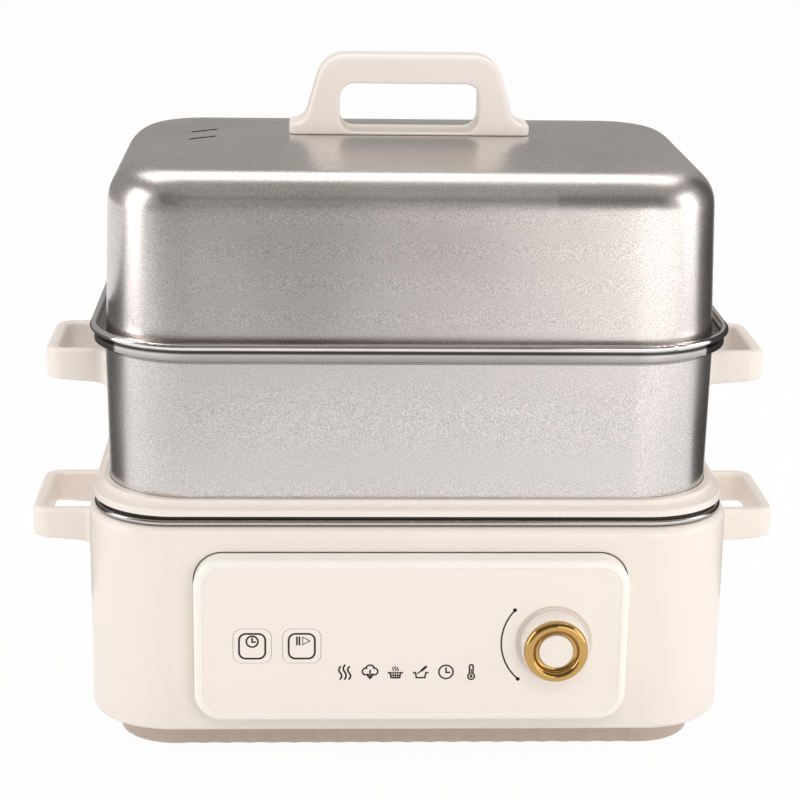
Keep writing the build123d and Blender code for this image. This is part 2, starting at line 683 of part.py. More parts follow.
def make_inner_pot():
    pot = slab(POT_WALL_INSET, POT_Z, POT_RIM_TOP)
    pot = fillet(pot.edges().group_by(Axis.Z)[0], POT_BOTTOM_FILLET)
    bead_z = POT_RIM_TOP - POT_BEAD_RADIUS
    bead_inset = POT_RIM_INSET + POT_BEAD_RADIUS
    pot += slab(bead_inset, POT_RIM_TOP - POT_SHEET, POT_RIM_TOP)
    bead = slab(POT_RIM_INSET, bead_z - POT_BEAD_RADIUS, POT_RIM_TOP)
    bead -= slab(POT_RIM_INSET + 2 * POT_BEAD_RADIUS, bead_z - 2 * POT_BEAD_RADIUS, POT_RIM_TOP + CUT_PAST)
    bead = fillet(bead.edges().group_by(Axis.Z)[-1] + bead.edges().group_by(Axis.Z)[0], POT_BEAD_FILLET)
    cavity = slab(POT_WALL_INSET + POT_SHEET, POT_Z + POT_SHEET, POT_RIM_TOP + CUT_PAST)
    cavity = fillet(cavity.edges().group_by(Axis.Z)[0], POT_BOTTOM_FILLET - POT_SHEET)
    return pot + bead - cavity


def make_ring_seal():
    seal = slab(SEAL_INSET, SEAL_Z, RING_Z)
    return seal - slab(SEAL_INSET + SEAL_WIDTH, SEAL_Z - CUT_PAST, RING_Z + CUT_PAST)


def make_adapter_ring():
    ring = slab(RING_INSET, RING_Z, RING_EDGE_Z, RING_CORNER)
    ring = fillet(ring.edges().group_by(Axis.Z)[-1], RING_EDGE_FILLET)
    ring += frustum(RING_INSET + RING_EDGE_FILLET, COLLAR_INSET, RING_EDGE_Z, COLLAR_Z, RING_CORNER,
                    BASKET_CORNER)
    collar = slab(COLLAR_INSET, RING_EDGE_Z, COLLAR_TOP, BASKET_CORNER)
    ring += fillet(collar.edges().group_by(Axis.Z)[-1], COLLAR_FILLET)
    skirt_inset = POT_WALL_INSET + POT_SHEET + RING_SKIRT_PLAY
    skirt_z = RING_Z - RING_SKIRT_DEPTH
    ring += slab(skirt_inset, skirt_z, RING_Z)
    bore_inset = skirt_inset + RING_SKIRT_WALL
    ring -= slab(bore_inset, skirt_z - CUT_PAST, COLLAR_TOP + CUT_PAST)
    ring -= slab(BASKET_INSET_LOW - BASKET_PLAY, POCKET_Z, COLLAR_TOP + CUT_PAST, BASKET_CORNER)
    return ring


def basket_wall(sheet):
    """The tapering box of the basket, outside or one sheet further in."""
    wall = frustum(BASKET_INSET_LOW + sheet, BASKET_INSET_HIGH + sheet, BASKET_Z + sheet, SHOULDER_Z,
                   BASKET_CORNER - sheet, BASKET_CORNER - sheet)
    return fillet(wall.edges().group_by(Axis.Z)[0], BASKET_BOTTOM_FILLET - sheet / 2)


def basket_neck(sheet):
    """The shoulder that steps out to the neck, outside or one sheet further in."""
    corner = BASKET_CORNER + BASKET_INSET_HIGH - NECK_INSET - sheet
    step = frustum(BASKET_INSET_HIGH + sheet, NECK_INSET + sheet, SHOULDER_Z, NECK_Z,
                   BASKET_CORNER - sheet, corner)
    return step + slab(NECK_INSET + sheet, NECK_Z, RIM_Z, corner)


def make_basket_shell():
    shell = basket_wall(0) + basket_neck(0)
    bead_corner = BASKET_CORNER + BASKET_INSET_HIGH - BASKET_RIM_INSET
    bead = slab(BASKET_RIM_INSET, RIM_Z - RIM_BEAD_RADIUS, RIM_Z + RIM_BEAD_RADIUS, bead_corner)
    outer_edges = bead.edges().group_by(Axis.Z)[-1] + bead.edges().group_by(Axis.Z)[0]
    shell += fillet(outer_edges, RIM_BEAD_FILLET)
    inner_corner = BASKET_CORNER + BASKET_INSET_HIGH - NECK_INSET - BASKET_SHEET
    mouth = slab(NECK_INSET + BASKET_SHEET, NECK_Z, RIM_Z + RIM_BEAD_RADIUS + CUT_PAST, inner_corner)
    throat = slab(BASKET_INSET_HIGH + BASKET_SHEET, SHOULDER_Z, NECK_Z + CUT_PAST,
                  BASKET_CORNER - BASKET_SHEET)
    shell -= mouth + throat + basket_wall(BASKET_SHEET)
    shell -= [
        post((column - (HOLE_COLUMNS - 1) / 2) * HOLE_PITCH, (row - (HOLE_ROWS - 1) / 2) * HOLE_PITCH,
             BASKET_Z - CUT_PAST, BASKET_Z + BASKET_SHEET + CUT_PAST, HOLE_RADIUS)
        for column in range(HOLE_COLUMNS) for row in range(HOLE_ROWS)
    ]
    for side in (-1, 1):
        for y in basket_screw_rows():
            wall = side * (HALF_WIDTH - BASKET_INSET_HIGH)
            shell -= rod_side(y, basket_screw_z(), wall - WALL_CUT, wall + WALL_CUT,
                              SIDE_SCREW_RADIUS + HOLE_PLAY)
    return shell


def lid_dome(sheet):
    """The lid's outer or, one sheet further in, inner dome."""
    top = LID_TOP_Z - sheet
    wall = frustum(LID_INSET_LOW + sheet, LID_INSET_HIGH + sheet, HEM_Z, top, LID_CORNER - sheet,
                   LID_CORNER - sheet)
    dome = fillet(wall.edges().group_by(Axis.Z)[-1], LID_TOP_FILLET - sheet)
    plateau = PLATEAU_Z - sheet
    insets = [
        (CROWN_INSET + sheet, top, LID_CORNER - LID_TOP_FILLET),
        (CROWN_MID_INSET, top + CROWN_MID_SHARE * CROWN_HEIGHT, PLATEAU_CORNER),
        (PLATEAU_INSET, plateau, PLATEAU_CORNER),
    ]
    for (low_inset, low_z, low_corner), (high_inset, high_z, high_corner) in zip(insets, insets[1:]):
        dome += frustum(low_inset, high_inset, low_z, high_z, low_corner, high_corner)
    return dome


def make_lid_shell():
    hem_corner = LID_CORNER + LID_INSET_LOW - LID_HEM_INSET
    lid = lid_dome(0) + slab(LID_HEM_INSET, HEM_Z, HEM_Z + LID_SHEET, hem_corner)
    lid -= lid_dome(LID_SHEET)
    for y in SLOT_Y:
        slot = SlotOverall(SLOT_LENGTH, SLOT_WIDTH)
        lid -= extrude(Pos(SLOT_X, y, LID_TOP_Z - LID_TOP_FILLET) * slot, amount=2 * LID_TOP_FILLET)
    for x in (-HANDLE_SCREW_X, HANDLE_SCREW_X):
        lid -= post(x, 0, PLATEAU_Z - LID_TOP_FILLET, PLATEAU_Z + CUT_PAST, HANDLE_SCREW_RADIUS + HOLE_PLAY)
    return lid


def handle_outline():
    """The lid handle from the front: flared feet, leaning legs and a round-cornered grip."""
    half = HANDLE_LENGTH / 2
    corners = Polyline(
        (-half, 0), (half, 0), (half, HANDLE_BASE_HEIGHT), (HANDLE_LEG_LOW_X, HANDLE_BASE_HEIGHT),
        (HANDLE_LEG_HIGH_X, HANDLE_HEIGHT), (-HANDLE_LEG_HIGH_X, HANDLE_HEIGHT),
        (-HANDLE_LEG_LOW_X, HANDLE_BASE_HEIGHT), (-half, HANDLE_BASE_HEIGHT), (-half, 0),
    )
    sketch = make_face(corners)
    sketch = fillet(sketch.vertices().group_by(Axis.Y)[-1], HANDLE_TOP_RADIUS)
    feet = [v for v in sketch.vertices() if abs(abs(v.X) - HANDLE_LEG_LOW_X) < SEAT_GAP]
    return fillet(feet, HANDLE_FLARE_RADIUS)


def grip_opening():
    height = GRIP_OPENING_TOP - GRIP_OPENING_LOW
    middle = (GRIP_OPENING_TOP + GRIP_OPENING_LOW) / 2
    return Pos(0, middle) * RectangleRounded(2 * GRIP_OPENING_X, height, GRIP_OPENING_CORNER)


def handle_side_face():
    """The lid handle from the end: its two faces lean in from the base to the top."""
    base, top = HANDLE_BASE_DEPTH / 2, HANDLE_TOP_DEPTH / 2
    return make_face(Polyline(
        (-base, 0), (base, 0), (base, HANDLE_BASE_HEIGHT), (top, HANDLE_HEIGHT), (-top, HANDLE_HEIGHT),
        (-base, HANDLE_BASE_HEIGHT), (-base, 0),
    ))


def make_lid_handle():
    z = PLATEAU_Z + SEAT_GAP
    handle = front(handle_outline() - grip_opening(), 0, z, -HANDLE_BASE_DEPTH, HANDLE_BASE_DEPTH)
    side_plane = Plane(origin=(-HANDLE_LENGTH, 0, z), x_dir=(0, 1, 0), z_dir=(1, 0, 0))
    handle &= extrude(side_plane * handle_side_face(), amount=2 * HANDLE_LENGTH)
    foot = RectangleRounded(HANDLE_LENGTH, HANDLE_BASE_DEPTH, HANDLE_BASE_CORNER)
    handle &= extrude(Pos(0, 0, z) * foot, amount=HANDLE_HEIGHT)
    lean = (HANDLE_BASE_DEPTH - HANDLE_TOP_DEPTH) / 2 / (HANDLE_HEIGHT - HANDLE_BASE_HEIGHT)

    def on_lean(edge):
        middle = edge @ 0.5
        rise = middle.Z - z - HANDLE_BASE_HEIGHT
        return rise > CUT_PAST and abs(abs(middle.Y) + lean * rise - HANDLE_BASE_DEPTH / 2) < SEAT_GAP

    def beside_opening(edge):
        middle = edge @ 0.5
        return abs(middle.X) < GRIP_OPENING_X + SEAT_GAP and middle.Z - z < GRIP_OPENING_TOP + SEAT_GAP

    handle = fillet([e for e in handle.edges() if on_lean(e) and not beside_opening(e)], GRIP_EDGE)
    for x in (-HANDLE_SCREW_X, HANDLE_SCREW_X):
        depth = HANDLE_SCREW_LENGTH + CUT_PAST
        handle -= post(x, 0, z - CUT_PAST, z + depth, HANDLE_SCREW_RADIUS + SCREW_FIT)
    return handle


def make_lid_handle_screws():
    under = PLATEAU_Z - LID_SHEET - WASHER_THICKNESS - 2 * SEAT_GAP
    screws = []
    for x in (-HANDLE_SCREW_X, HANDLE_SCREW_X):
        head = post(x, 0, under - SCREW_HEAD_HEIGHT, under, HANDLE_SCREW_HEAD)
        head = fillet(head.edges().group_by(Axis.Z)[0], HANDLE_SCREW_EDGE)
        screws.append(head + post(x, 0, under, PLATEAU_Z + HANDLE_SCREW_LENGTH, HANDLE_SCREW_RADIUS))
    return screws


def make_lid_handle_washers():
    top = PLATEAU_Z - LID_SHEET - SEAT_GAP
    return [
        post(x, 0, top - WASHER_THICKNESS, top, WASHER_RADIUS)
        - post(x, 0, top - WASHER_THICKNESS - CUT_PAST, top + CUT_PAST, HANDLE_SCREW_RADIUS + HOLE_PLAY)
        for x in (-HANDLE_SCREW_X, HANDLE_SCREW_X)
    ]


def side_handle(root, reach, half_width, low_z):
    """A horizontal loop handle on the +X side whose two ends flare onto the wall."""
    pad = FLARE_RADIUS + FLARE_PAD
    plan = Pos(reach / 2, 0) * Rectangle(reach, 2 * half_width)
    plan = fillet(plan.vertices().group_by(Axis.X)[-1], SIDE_HANDLE_CORNER)
    hole_reach = reach - SIDE_HANDLE_BAR
    hole = Pos(hole_reach / 2, 0) * Rectangle(hole_reach, 2 * (half_width - SIDE_HANDLE_BAR))
    hole = fillet(hole.vertices().group_by(Axis.X)[-1], SIDE_HANDLE_INNER_CORNER)
    for side in (-1, 1):
        corner = Pos(pad / 2, side * (half_width + FLARE_RADIUS / 2)) * Rectangle(pad, FLARE_RADIUS)
        plan += corner - Pos(pad, side * (half_width + FLARE_RADIUS)) * Circle(FLARE_RADIUS)
    plan -= hole
    loop = extrude(Pos(root, 0, low_z - FLARE_DROP) * plan, amount=SIDE_HANDLE_HEIGHT + FLARE_DROP)
    side_face = make_face(Polyline(
        (0, -FLARE_DROP), (FLARE_PAD, -FLARE_DROP), (pad, 0), (reach, SIDE_HANDLE_RISE),
        (reach, SIDE_HANDLE_HEIGHT), (0, SIDE_HANDLE_HEIGHT), (0, -FLARE_DROP),
    ))
    wide = half_width + 2 * FLARE_RADIUS
    return loop & front(side_face, root, low_z, -wide, wide)


def rounded_side_handle(root, reach, half_width, low_z):
    """The loop handle with its long upper and lower edges rounded."""
    handle = side_handle(root, reach, half_width, low_z)
    top = low_z + SIDE_HANDLE_HEIGHT
    upper = [e for e in handle.edges() if abs(e.center().Z - top) < SEAT_GAP]
    long_edges = [e for e in upper if e.center().X > root + SEAT_GAP]
    return fillet(long_edges, SIDE_HANDLE_EDGE)


def screw_rows(half_width):
    """Where the screws enter the middle of a loop handle's two ends."""
    return (SIDE_HANDLE_BAR / 2 - half_width, half_width - SIDE_HANDLE_BAR / 2)


def base_screw_rows():
    return screw_rows(BASE_HANDLE_HALF_WIDTH)


def base_screw_z():
    return BASE_HANDLE_LOW_Z + SIDE_HANDLE_HEIGHT / 2


def basket_screw_rows():
    return screw_rows(BASKET_HANDLE_HALF_WIDTH)


def basket_screw_z():
    return BASKET_HANDLE_LOW_Z + SIDE_HANDLE_HEIGHT / 2


def make_base_handle(side):
    root = HALF_WIDTH
    handle = rounded_side_handle(root, BASE_HANDLE_REACH, BASE_HANDLE_HALF_WIDTH, BASE_HANDLE_LOW_Z)
    for y in base_screw_rows():
        handle -= rod_side(y, base_screw_z(), root - CUT_PAST, root + SIDE_SCREW_GRIP + CUT_PAST,
                           SIDE_SCREW_RADIUS + SCREW_FIT)
    return handle if side > 0 else mirror(handle, about=Plane.YZ)


def basket_handle_root():
    return HALF_WIDTH - BASKET_INSET_HIGH


def make_basket_handle(side):
    root = basket_handle_root()
    handle = rounded_side_handle(root, BASKET_HANDLE_REACH, BASKET_HANDLE_HALF_WIDTH, BASKET_HANDLE_LOW_Z)
    for y in basket_screw_rows():
        handle -= rod_side(y, basket_screw_z(), root - CUT_PAST, root + SIDE_SCREW_GRIP + CUT_PAST,
                           SIDE_SCREW_RADIUS + SCREW_FIT)
    return handle if side > 0 else mirror(handle, about=Plane.YZ)


def side_screws(rows, z, inside, root):
    """Screws whose heads lie inside the wall and whose shanks enter the handles."""
    screws = []
    for y in rows:
        screw = rod_side(y, z, inside - SIDE_SCREW_HEAD_HEIGHT, inside, SIDE_SCREW_HEAD_RADIUS)
        screw += rod_side(y, z, inside, root + SIDE_SCREW_GRIP, SIDE_SCREW_RADIUS)
        screws.append(screw)
        screws.append(mirror(screw, about=Plane.YZ))
    return screws


def make_base_handle_screws():
    inside = HALF_WIDTH - HOUSING_WALL - SEAT_GAP
    return side_screws(base_screw_rows(), base_screw_z(), inside, HALF_WIDTH)


def make_basket_handle_screws():
    rise = (basket_screw_z() - BASKET_Z) / (SHOULDER_Z - BASKET_Z)
    inset = BASKET_INSET_LOW + (BASKET_INSET_HIGH - BASKET_INSET_LOW) * rise
    inside = HALF_WIDTH - inset - BASKET_SHEET - 2 * SEAT_GAP
    return side_screws(basket_screw_rows(), basket_screw_z(), inside, basket_handle_root())


def make_panel_frame():
    frame = panel_slab(0, HALF_DEPTH + PANEL_SEAM, PANEL_FACE)
    frame = fillet(at_front(frame), PANEL_EDGE)
    frame += panel_slab(PLUG_INSET, HALF_DEPTH - HOUSING_WALL, HALF_DEPTH + PANEL_SEAM + MERGE)
    frame -= panel_slab(PANEL_RIM, FRONT_PLATE_BACK, PANEL_FACE + CUT_PAST)
    return frame - panel_slab(PANEL_RIM + PANEL_LEDGE, HALF_DEPTH - HOUSING_WALL - CUT_PAST, PANEL_FACE)


def board_bosses():
    """Where the control board's screws stand, in X and Z."""
    x = CONTROL_BOARD_WIDTH / 2 - BOARD_BOSS_INSET
    z = CONTROL_BOARD_HEIGHT / 2 - BOARD_BOSS_INSET
    return [(i, PANEL_Z + j) for i, j in four(x, z)]


def button_outline(grow):
    return RectangleRounded(BUTTON_WIDTH + 2 * grow, BUTTON_HEIGHT + 2 * grow, BUTTON_CORNER + grow)


def make_panel_plate():
    plate = panel_slab(PANEL_RIM + WINDOW_PLAY, FRONT_PLATE_BACK + SEAT_GAP, PANEL_FACE)
    plate = fillet(at_front(plate), FRONT_PLATE_EDGE)
    dish = Cone(DISH_FLOOR_RADIUS, DISH_RADIUS, DISH_DEPTH)
    plate -= Pos(KNOB_X, DISH_DEPTH / 2 - PANEL_FACE, KNOB_Z) * Rot(90, 0, 0) * dish
    plate -= rod_front(KNOB_X, KNOB_Z, FRONT_PLATE_BACK - CUT_PAST, PANEL_FACE, BUSHING_RADIUS + HOLE_PLAY)
    for x in BUTTON_X:
        plate -= front(button_outline(WINDOW_PLAY), x, BUTTON_Z, FRONT_PLATE_BACK - CUT_PAST,
                       PANEL_FACE + CUT_PAST)
    for x, z in board_bosses():
        plate += rod_front(x, z, BOARD_FACE + SEAT_GAP, FRONT_PLATE_BACK + MERGE, BOARD_BOSS_RADIUS)
        plate -= rod_front(x, z, BOARD_FACE, FRONT_PLATE_BACK, SCREW_RADIUS + SCREW_FIT)
    return plate


def make_button(x):
    back = FRONT_PLATE_BACK - SEAT_GAP
    cap = front(button_outline(0), x, BUTTON_Z, back - BUTTON_FLANGE, PANEL_FACE + BUTTON_PROUD)
    cap = fillet(at_front(cap), BUTTON_EDGE)
    cap += front(button_outline(BUTTON_FLANGE), x, BUTTON_Z, back - BUTTON_FLANGE, back)
    tip = BOARD_FACE + SWITCH_HEIGHT - SWITCH_ENTRY
    return cap + rod_front(x, BUTTON_Z, tip, back - BUTTON_FLANGE, BUTTON_STEM_RADIUS)


def make_tact_switches():
    top = BOARD_FACE + SWITCH_HEIGHT
    switches = []
    for x in BUTTON_X:
        switch = front(Rectangle(SWITCH_SIDE, SWITCH_SIDE), x, BUTTON_Z, BOARD_FACE, top)
        bore = rod_front(x, BUTTON_Z, top - SWITCH_BORE_DEPTH, top + CUT_PAST, BUTTON_STEM_RADIUS + HOLE_PLAY)
        switches.append(switch - bore)
    return switches


def make_control_board():
    board = front(Rectangle(CONTROL_BOARD_WIDTH, CONTROL_BOARD_HEIGHT), 0, PANEL_Z, BOARD_BACK, BOARD_FACE)
    for x, z in board_bosses():
        board -= rod_front(x, z, BOARD_BACK - CUT_PAST, BOARD_FACE + CUT_PAST, SCREW_RADIUS + HOLE_PLAY)
    return board


def make_control_board_screws():
    screws = []
    for x, z in board_bosses():
        head = rod_front(x, z, BOARD_BACK - SCREW_HEAD_HEIGHT, BOARD_BACK, SCREW_HEAD_RADIUS)
        screws.append(head + rod_front(x, z, BOARD_BACK, FRONT_PLATE_BACK - SCREW_TIP_GAP, SCREW_RADIUS))
    return screws


def make_indicator_leds():
    leds = []
    for i in range(LED_COUNT):
        x = LED_X + (i - (LED_COUNT - 1) / 2) * LED_PITCH
        leds.append(front(Rectangle(LED_LENGTH, LED_WIDTH), x, LED_Z, BOARD_FACE, BOARD_FACE + LED_HEIGHT))
    return leds


def make_control_chip():
    return front(Rectangle(CHIP_SIDE, CHIP_SIDE), 0, PANEL_Z, BOARD_BACK - CHIP_HEIGHT, BOARD_BACK)


def make_rotary_encoder():
    top = BOARD_FACE + ENCODER_HEIGHT
    body = front(Rectangle(ENCODER_SIDE, ENCODER_SIDE), KNOB_X, KNOB_Z, BOARD_FACE, top)
    body += rod_front(KNOB_X, KNOB_Z, top, top + BUSHING_LENGTH, BUSHING_RADIUS)
    bore = rod_front(KNOB_X, KNOB_Z, top - SHAFT_ENTRY - HOLE_PLAY, top + BUSHING_LENGTH + CUT_PAST,
                     SHAFT_RADIUS + RUN_FIT)
    return body - bore


def make_encoder_shaft():
    start = BOARD_FACE + ENCODER_HEIGHT - SHAFT_ENTRY
    return rod_front(KNOB_X, KNOB_Z, start, RING_SEAT - KNOB_WALL - SEAT_GAP, SHAFT_RADIUS)


def make_knob_body():
    knob = rod_front(KNOB_X, KNOB_Z, KNOB_BACK, KNOB_FACE, KNOB_RADIUS)
    knob = fillet(at_front(knob), KNOB_RADIUS - RING_RADIUS)
    knob -= rod_front(KNOB_X, KNOB_Z, RING_SEAT, KNOB_FACE + CUT_PAST, RING_RADIUS + SCREW_FIT)
    knob -= rod_front(KNOB_X, KNOB_Z, KNOB_BACK - CUT_PAST, RING_SEAT - KNOB_WALL, KNOB_RADIUS - KNOB_WALL)
    knob += rod_front(KNOB_X, KNOB_Z, KNOB_BACK, RING_SEAT - KNOB_WALL, KNOB_HUB_RADIUS)
    return knob - rod_front(KNOB_X, KNOB_Z, KNOB_BACK - CUT_PAST, RING_SEAT - KNOB_WALL,
                            SHAFT_RADIUS + SCREW_FIT)


def on_knob_axis(profile):
    """Turns a profile of radius and height about the knob's axis, standing on the ring seat."""
    turned = revolve(Plane.XZ * profile, Axis.Z)
    return Pos(KNOB_X, -RING_SEAT, KNOB_Z) * Rot(90, 0, 0) * turned


def make_knob_ring():
    bead = RING_RADIUS - RING_BEAD_RADIUS
    inner = bead - RING_BEAD_RADIUS
    scoop = ((inner + RING_BORE) / 2, (RING_CONE_HIGH + RING_CONE_LOW) / 2 - RING_SCOOP)
    path = (
        Line((RING_BORE, 0), (RING_RADIUS, 0))
        + Line((RING_RADIUS, 0), (RING_RADIUS, RING_BEAD_HEIGHT))
        + ThreePointArc((RING_RADIUS, RING_BEAD_HEIGHT), (bead, RING_BEAD_HEIGHT + RING_BEAD_RADIUS),
                        (inner, RING_BEAD_HEIGHT))
        + Line((inner, RING_BEAD_HEIGHT), (inner, RING_CONE_HIGH))
        + ThreePointArc((inner, RING_CONE_HIGH), scoop, (RING_BORE, RING_CONE_LOW))
        + Line((RING_BORE, RING_CONE_LOW), (RING_BORE, 0))
    )
    return on_knob_axis(make_face(path))


def make_knob_cap():
    cap = rod_front(KNOB_X, KNOB_Z, RING_SEAT, RING_SEAT + CAP_HEIGHT, CAP_RADIUS)
    return fillet(at_front(cap), CAP_EDGE)


def make_power_inlet():
    face = -HALF_DEPTH
    flange = RectangleRounded(INLET_FLANGE_WIDTH, INLET_FLANGE_HEIGHT, INLET_CORNER)
    inlet = front(flange, INLET_X, INLET_Z, face - INLET_FLANGE, face - SEAT_GAP)
    body = RectangleRounded(INLET_WIDTH, INLET_HEIGHT, INLET_CORNER)
    inlet += front(body, INLET_X, INLET_Z, face - INLET_FLANGE, face + INLET_DEPTH)
    socket = RectangleRounded(SOCKET_WIDTH, SOCKET_HEIGHT, INLET_CORNER)
    inlet -= front(socket, INLET_X, INLET_Z, face - INLET_FLANGE - CUT_PAST, face + SOCKET_DEPTH)
    for x, z in inlet_pins():
        inlet -= front(Rectangle(PIN_WIDTH, PIN_THICKNESS), x, z, face, face + INLET_DEPTH + CUT_PAST)
    for x in (-INLET_SCREW_X, INLET_SCREW_X):
        inlet -= rod_front(INLET_X + x, INLET_Z, face - INLET_FLANGE - CUT_PAST, face,
                           SCREW_RADIUS + HOLE_PLAY)
    return inlet


def inlet_pins():
    return [(INLET_X - PIN_SPACING / 2, INLET_Z), (INLET_X + PIN_SPACING / 2, INLET_Z),
            (INLET_X, INLET_Z + EARTH_RISE)]


def make_inlet_pins():
    back = -HALF_DEPTH + INLET_DEPTH + PIN_TAIL
    return [
        front(Rectangle(PIN_WIDTH - SCREW_FIT, PIN_THICKNESS - SCREW_FIT), x, z, back - PIN_LENGTH, back)
        for x, z in inlet_pins()
    ]


def make_inlet_screws():
    face = -HALF_DEPTH - INLET_FLANGE
    screws = []
    for x in (-INLET_SCREW_X, INLET_SCREW_X):
        head = rod_front(INLET_X + x, INLET_Z, face - INLET_SCREW_HEAD, face, SCREW_HEAD_RADIUS)
        screws.append(head + rod_front(INLET_X + x, INLET_Z, face, face + INLET_SCREW_LENGTH, SCREW_RADIUS))
    return screws


def power_board_holes():
    x = POWER_BOARD_WIDTH / 2 - STANDOFF_INSET
    y = POWER_BOARD_DEPTH / 2 - STANDOFF_INSET
    return [(POWER_BOARD_X + i, POWER_BOARD_Y + j) for i, j in four(x, y)]


def make_power_board():
    board = block(POWER_BOARD_X, POWER_BOARD_Y, POWER_BOARD_Z,
                  (POWER_BOARD_WIDTH, POWER_BOARD_DEPTH, BOARD_THICKNESS))
    for x, y in power_board_holes():
        board -= post(x, y, POWER_BOARD_Z - CUT_PAST, POWER_BOARD_TOP + CUT_PAST, SCREW_RADIUS + HOLE_PLAY)
    return board


def make_power_board_screws():
    return [
        post(x, y, POWER_BOARD_TOP, POWER_BOARD_TOP + SCREW_HEAD_HEIGHT, SCREW_HEAD_RADIUS)
        + post(x, y, COVER_TOP + SCREW_TIP_GAP, POWER_BOARD_TOP, SCREW_RADIUS)
        for x, y in power_board_holes()
    ]


def on_power_board(place):
    """A place on the power board, measured from its middle, as X and Y."""
    return POWER_BOARD_X + place[0], POWER_BOARD_Y + place[1]


def make_power_relay():
    relay = block(*on_power_board(RELAY_AT), POWER_BOARD_TOP, RELAY)
    return fillet(relay.edges().group_by(Axis.Z)[-1], RELAY_EDGE)


def make_power_transformer():
    return block(*on_power_board(TRANSFORMER_AT), POWER_BOARD_TOP, TRANSFORMER)


def make_filter_capacitor():
    return block(*on_power_board(CAPACITOR_AT), POWER_BOARD_TOP, CAPACITOR)


def make_mains_leads():
    leads = []
    start_y = HALF_DEPTH - INLET_DEPTH - PIN_TAIL
    for (x, z), end, rise in zip(inlet_pins(), MAINS_ENDS, MAINS_RISE):
        end_x, y = on_power_board(end)
        points = [(x, start_y, z), (x, y, z), (end_x, y, POWER_BOARD_TOP + rise), (end_x, y, POWER_BOARD_TOP)]
        leads.append(wire(points, LEAD_RADIUS, MAINS_BENDS))
    return leads


def make_heater_leads():
    leads = []
    start_z = PLATE_Z - ELEMENT_RADIUS - SEAT_GAP - TERMINAL_DROP
    y = ELEMENT_DEPTH / 2
    for x, end in zip((-TERMINAL_X, TERMINAL_X), HEATER_ENDS):
        end_x, end_y = on_power_board(end)
        bend_z = POWER_BOARD_TOP + max(MAINS_RISE) + HEATER_OVER_MAINS
        end_z = POWER_BOARD_TOP
        points = [(x, y, start_z), (x, y, bend_z), (end_x, end_y, bend_z), (end_x, end_y, end_z)]
        leads.append(wire(points, LEAD_RADIUS, HEATER_BENDS))
    return leads


def make_control_harness():
    wires = []
    drop_y = (HOUSING_WALL + WELL_INSET) / 2 - HALF_DEPTH
    high = PANEL_Z - RIBBON_BELOW_PANEL
    low = HOUSING_Z + RIBBON_LOW
    middle, end_y = on_power_board(RIBBON_END)
    for i in range(RIBBON_WIRES):
        x = middle + (i - (RIBBON_WIRES - 1) / 2) * RIBBON_PITCH
        points = [(x, -BOARD_BACK, high), (x, drop_y, high), (x, drop_y, low), (x, end_y, low - RIBBON_FALL),
                  (x, end_y, POWER_BOARD_TOP)]
        wires.append(wire(points, RIBBON_RADIUS, RIBBON_BENDS))
    return wires


def build_nodes():
    left_x, right_x = BUTTON_X
    return {
        "outer_housing": make_outer_housing(),
        "bottom_cover": make_bottom_cover(),
        "rubber_feet": make_rubber_feet(),
        "cover_screws": make_cover_screws(),
        "heat_shield": make_heat_shield(),
        "shield_posts": make_shield_posts(),
        "heating_plate": make_heating_plate(),
        "plate_posts": make_plate_posts(),
        "plate_nuts": make_plate_nuts(),
        "heating_element": make_heating_element(),
        "temperature_probe": make_temperature_probe(),
        "probe_spring": make_probe_spring(),
        "probe_guide": make_probe_guide(),
        "thermostat": make_thermostat(),
        "thermal_fuse": make_thermal_fuse(),
        "base_handle_left": make_base_handle(-1),
        "base_handle_right": make_base_handle(1),
        "base_handle_screws": make_base_handle_screws(),
        "panel_frame": make_panel_frame(),
        "panel_plate": make_panel_plate(),
        "reserve_button": make_button(left_x),
        "start_button": make_button(right_x),
        "tact_switches": make_tact_switches(),
        "control_board": make_control_board(),
        "control_board_screws": make_control_board_screws(),
        "control_chip": make_control_chip(),
        "indicator_leds": make_indicator_leds(),
        "rotary_encoder": make_rotary_encoder(),
        "encoder_shaft": make_encoder_shaft(),
        "knob_body": make_knob_body(),
        "knob_ring": make_knob_ring(),
        "knob_cap": make_knob_cap(),
        "power_inlet": make_power_inlet(),
        "inlet_pins": make_inlet_pins(),
        "inlet_screws": make_inlet_screws(),
        "power_board": make_power_board(),
        "power_board_screws": make_power_board_screws(),
        "power_relay": make_power_relay(),
        "power_transformer": make_power_transformer(),
        "filter_capacitor": make_filter_capacitor(),
        "mains_leads": make_mains_leads(),
        "heater_leads": make_heater_leads(),
        "control_harness": make_control_harness(),
        "inner_pot": make_inner_pot(),
        "ring_seal": make_ring_seal(),
        "adapter_ring": make_adapter_ring(),
        "basket_shell": make_basket_shell(),
        "basket_handle_left": make_basket_handle(-1),
        "basket_handle_right": make_basket_handle(1),
        "basket_handle_screws": make_basket_handle_screws(),
        "lid_shell": make_lid_shell(),
        "lid_handle": make_lid_handle(),
        "lid_handle_screws": make_lid_handle_screws(),
        "lid_handle_washers": make_lid_handle_washers(),
    }


def placed(shape):
    """One node, a piece or a list of like pieces, moved so that the box's middle is the origin."""
    pieces = shape if isinstance(shape, list) else [shape]
    solids = [Pos(0, Y_SHIFT, 0) * solid for piece in pieces for solid in piece.solids()]
    return solids[0] if len(solids) == 1 else Compound(children=solids)


os.makedirs("parts", exist_ok=True)
for node, shape in build_nodes().items():
    export_step(placed(shape), f"parts/{node}.step")
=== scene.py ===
import json
import math

import bmesh
import bpy
from mathutils import Matrix, Vector


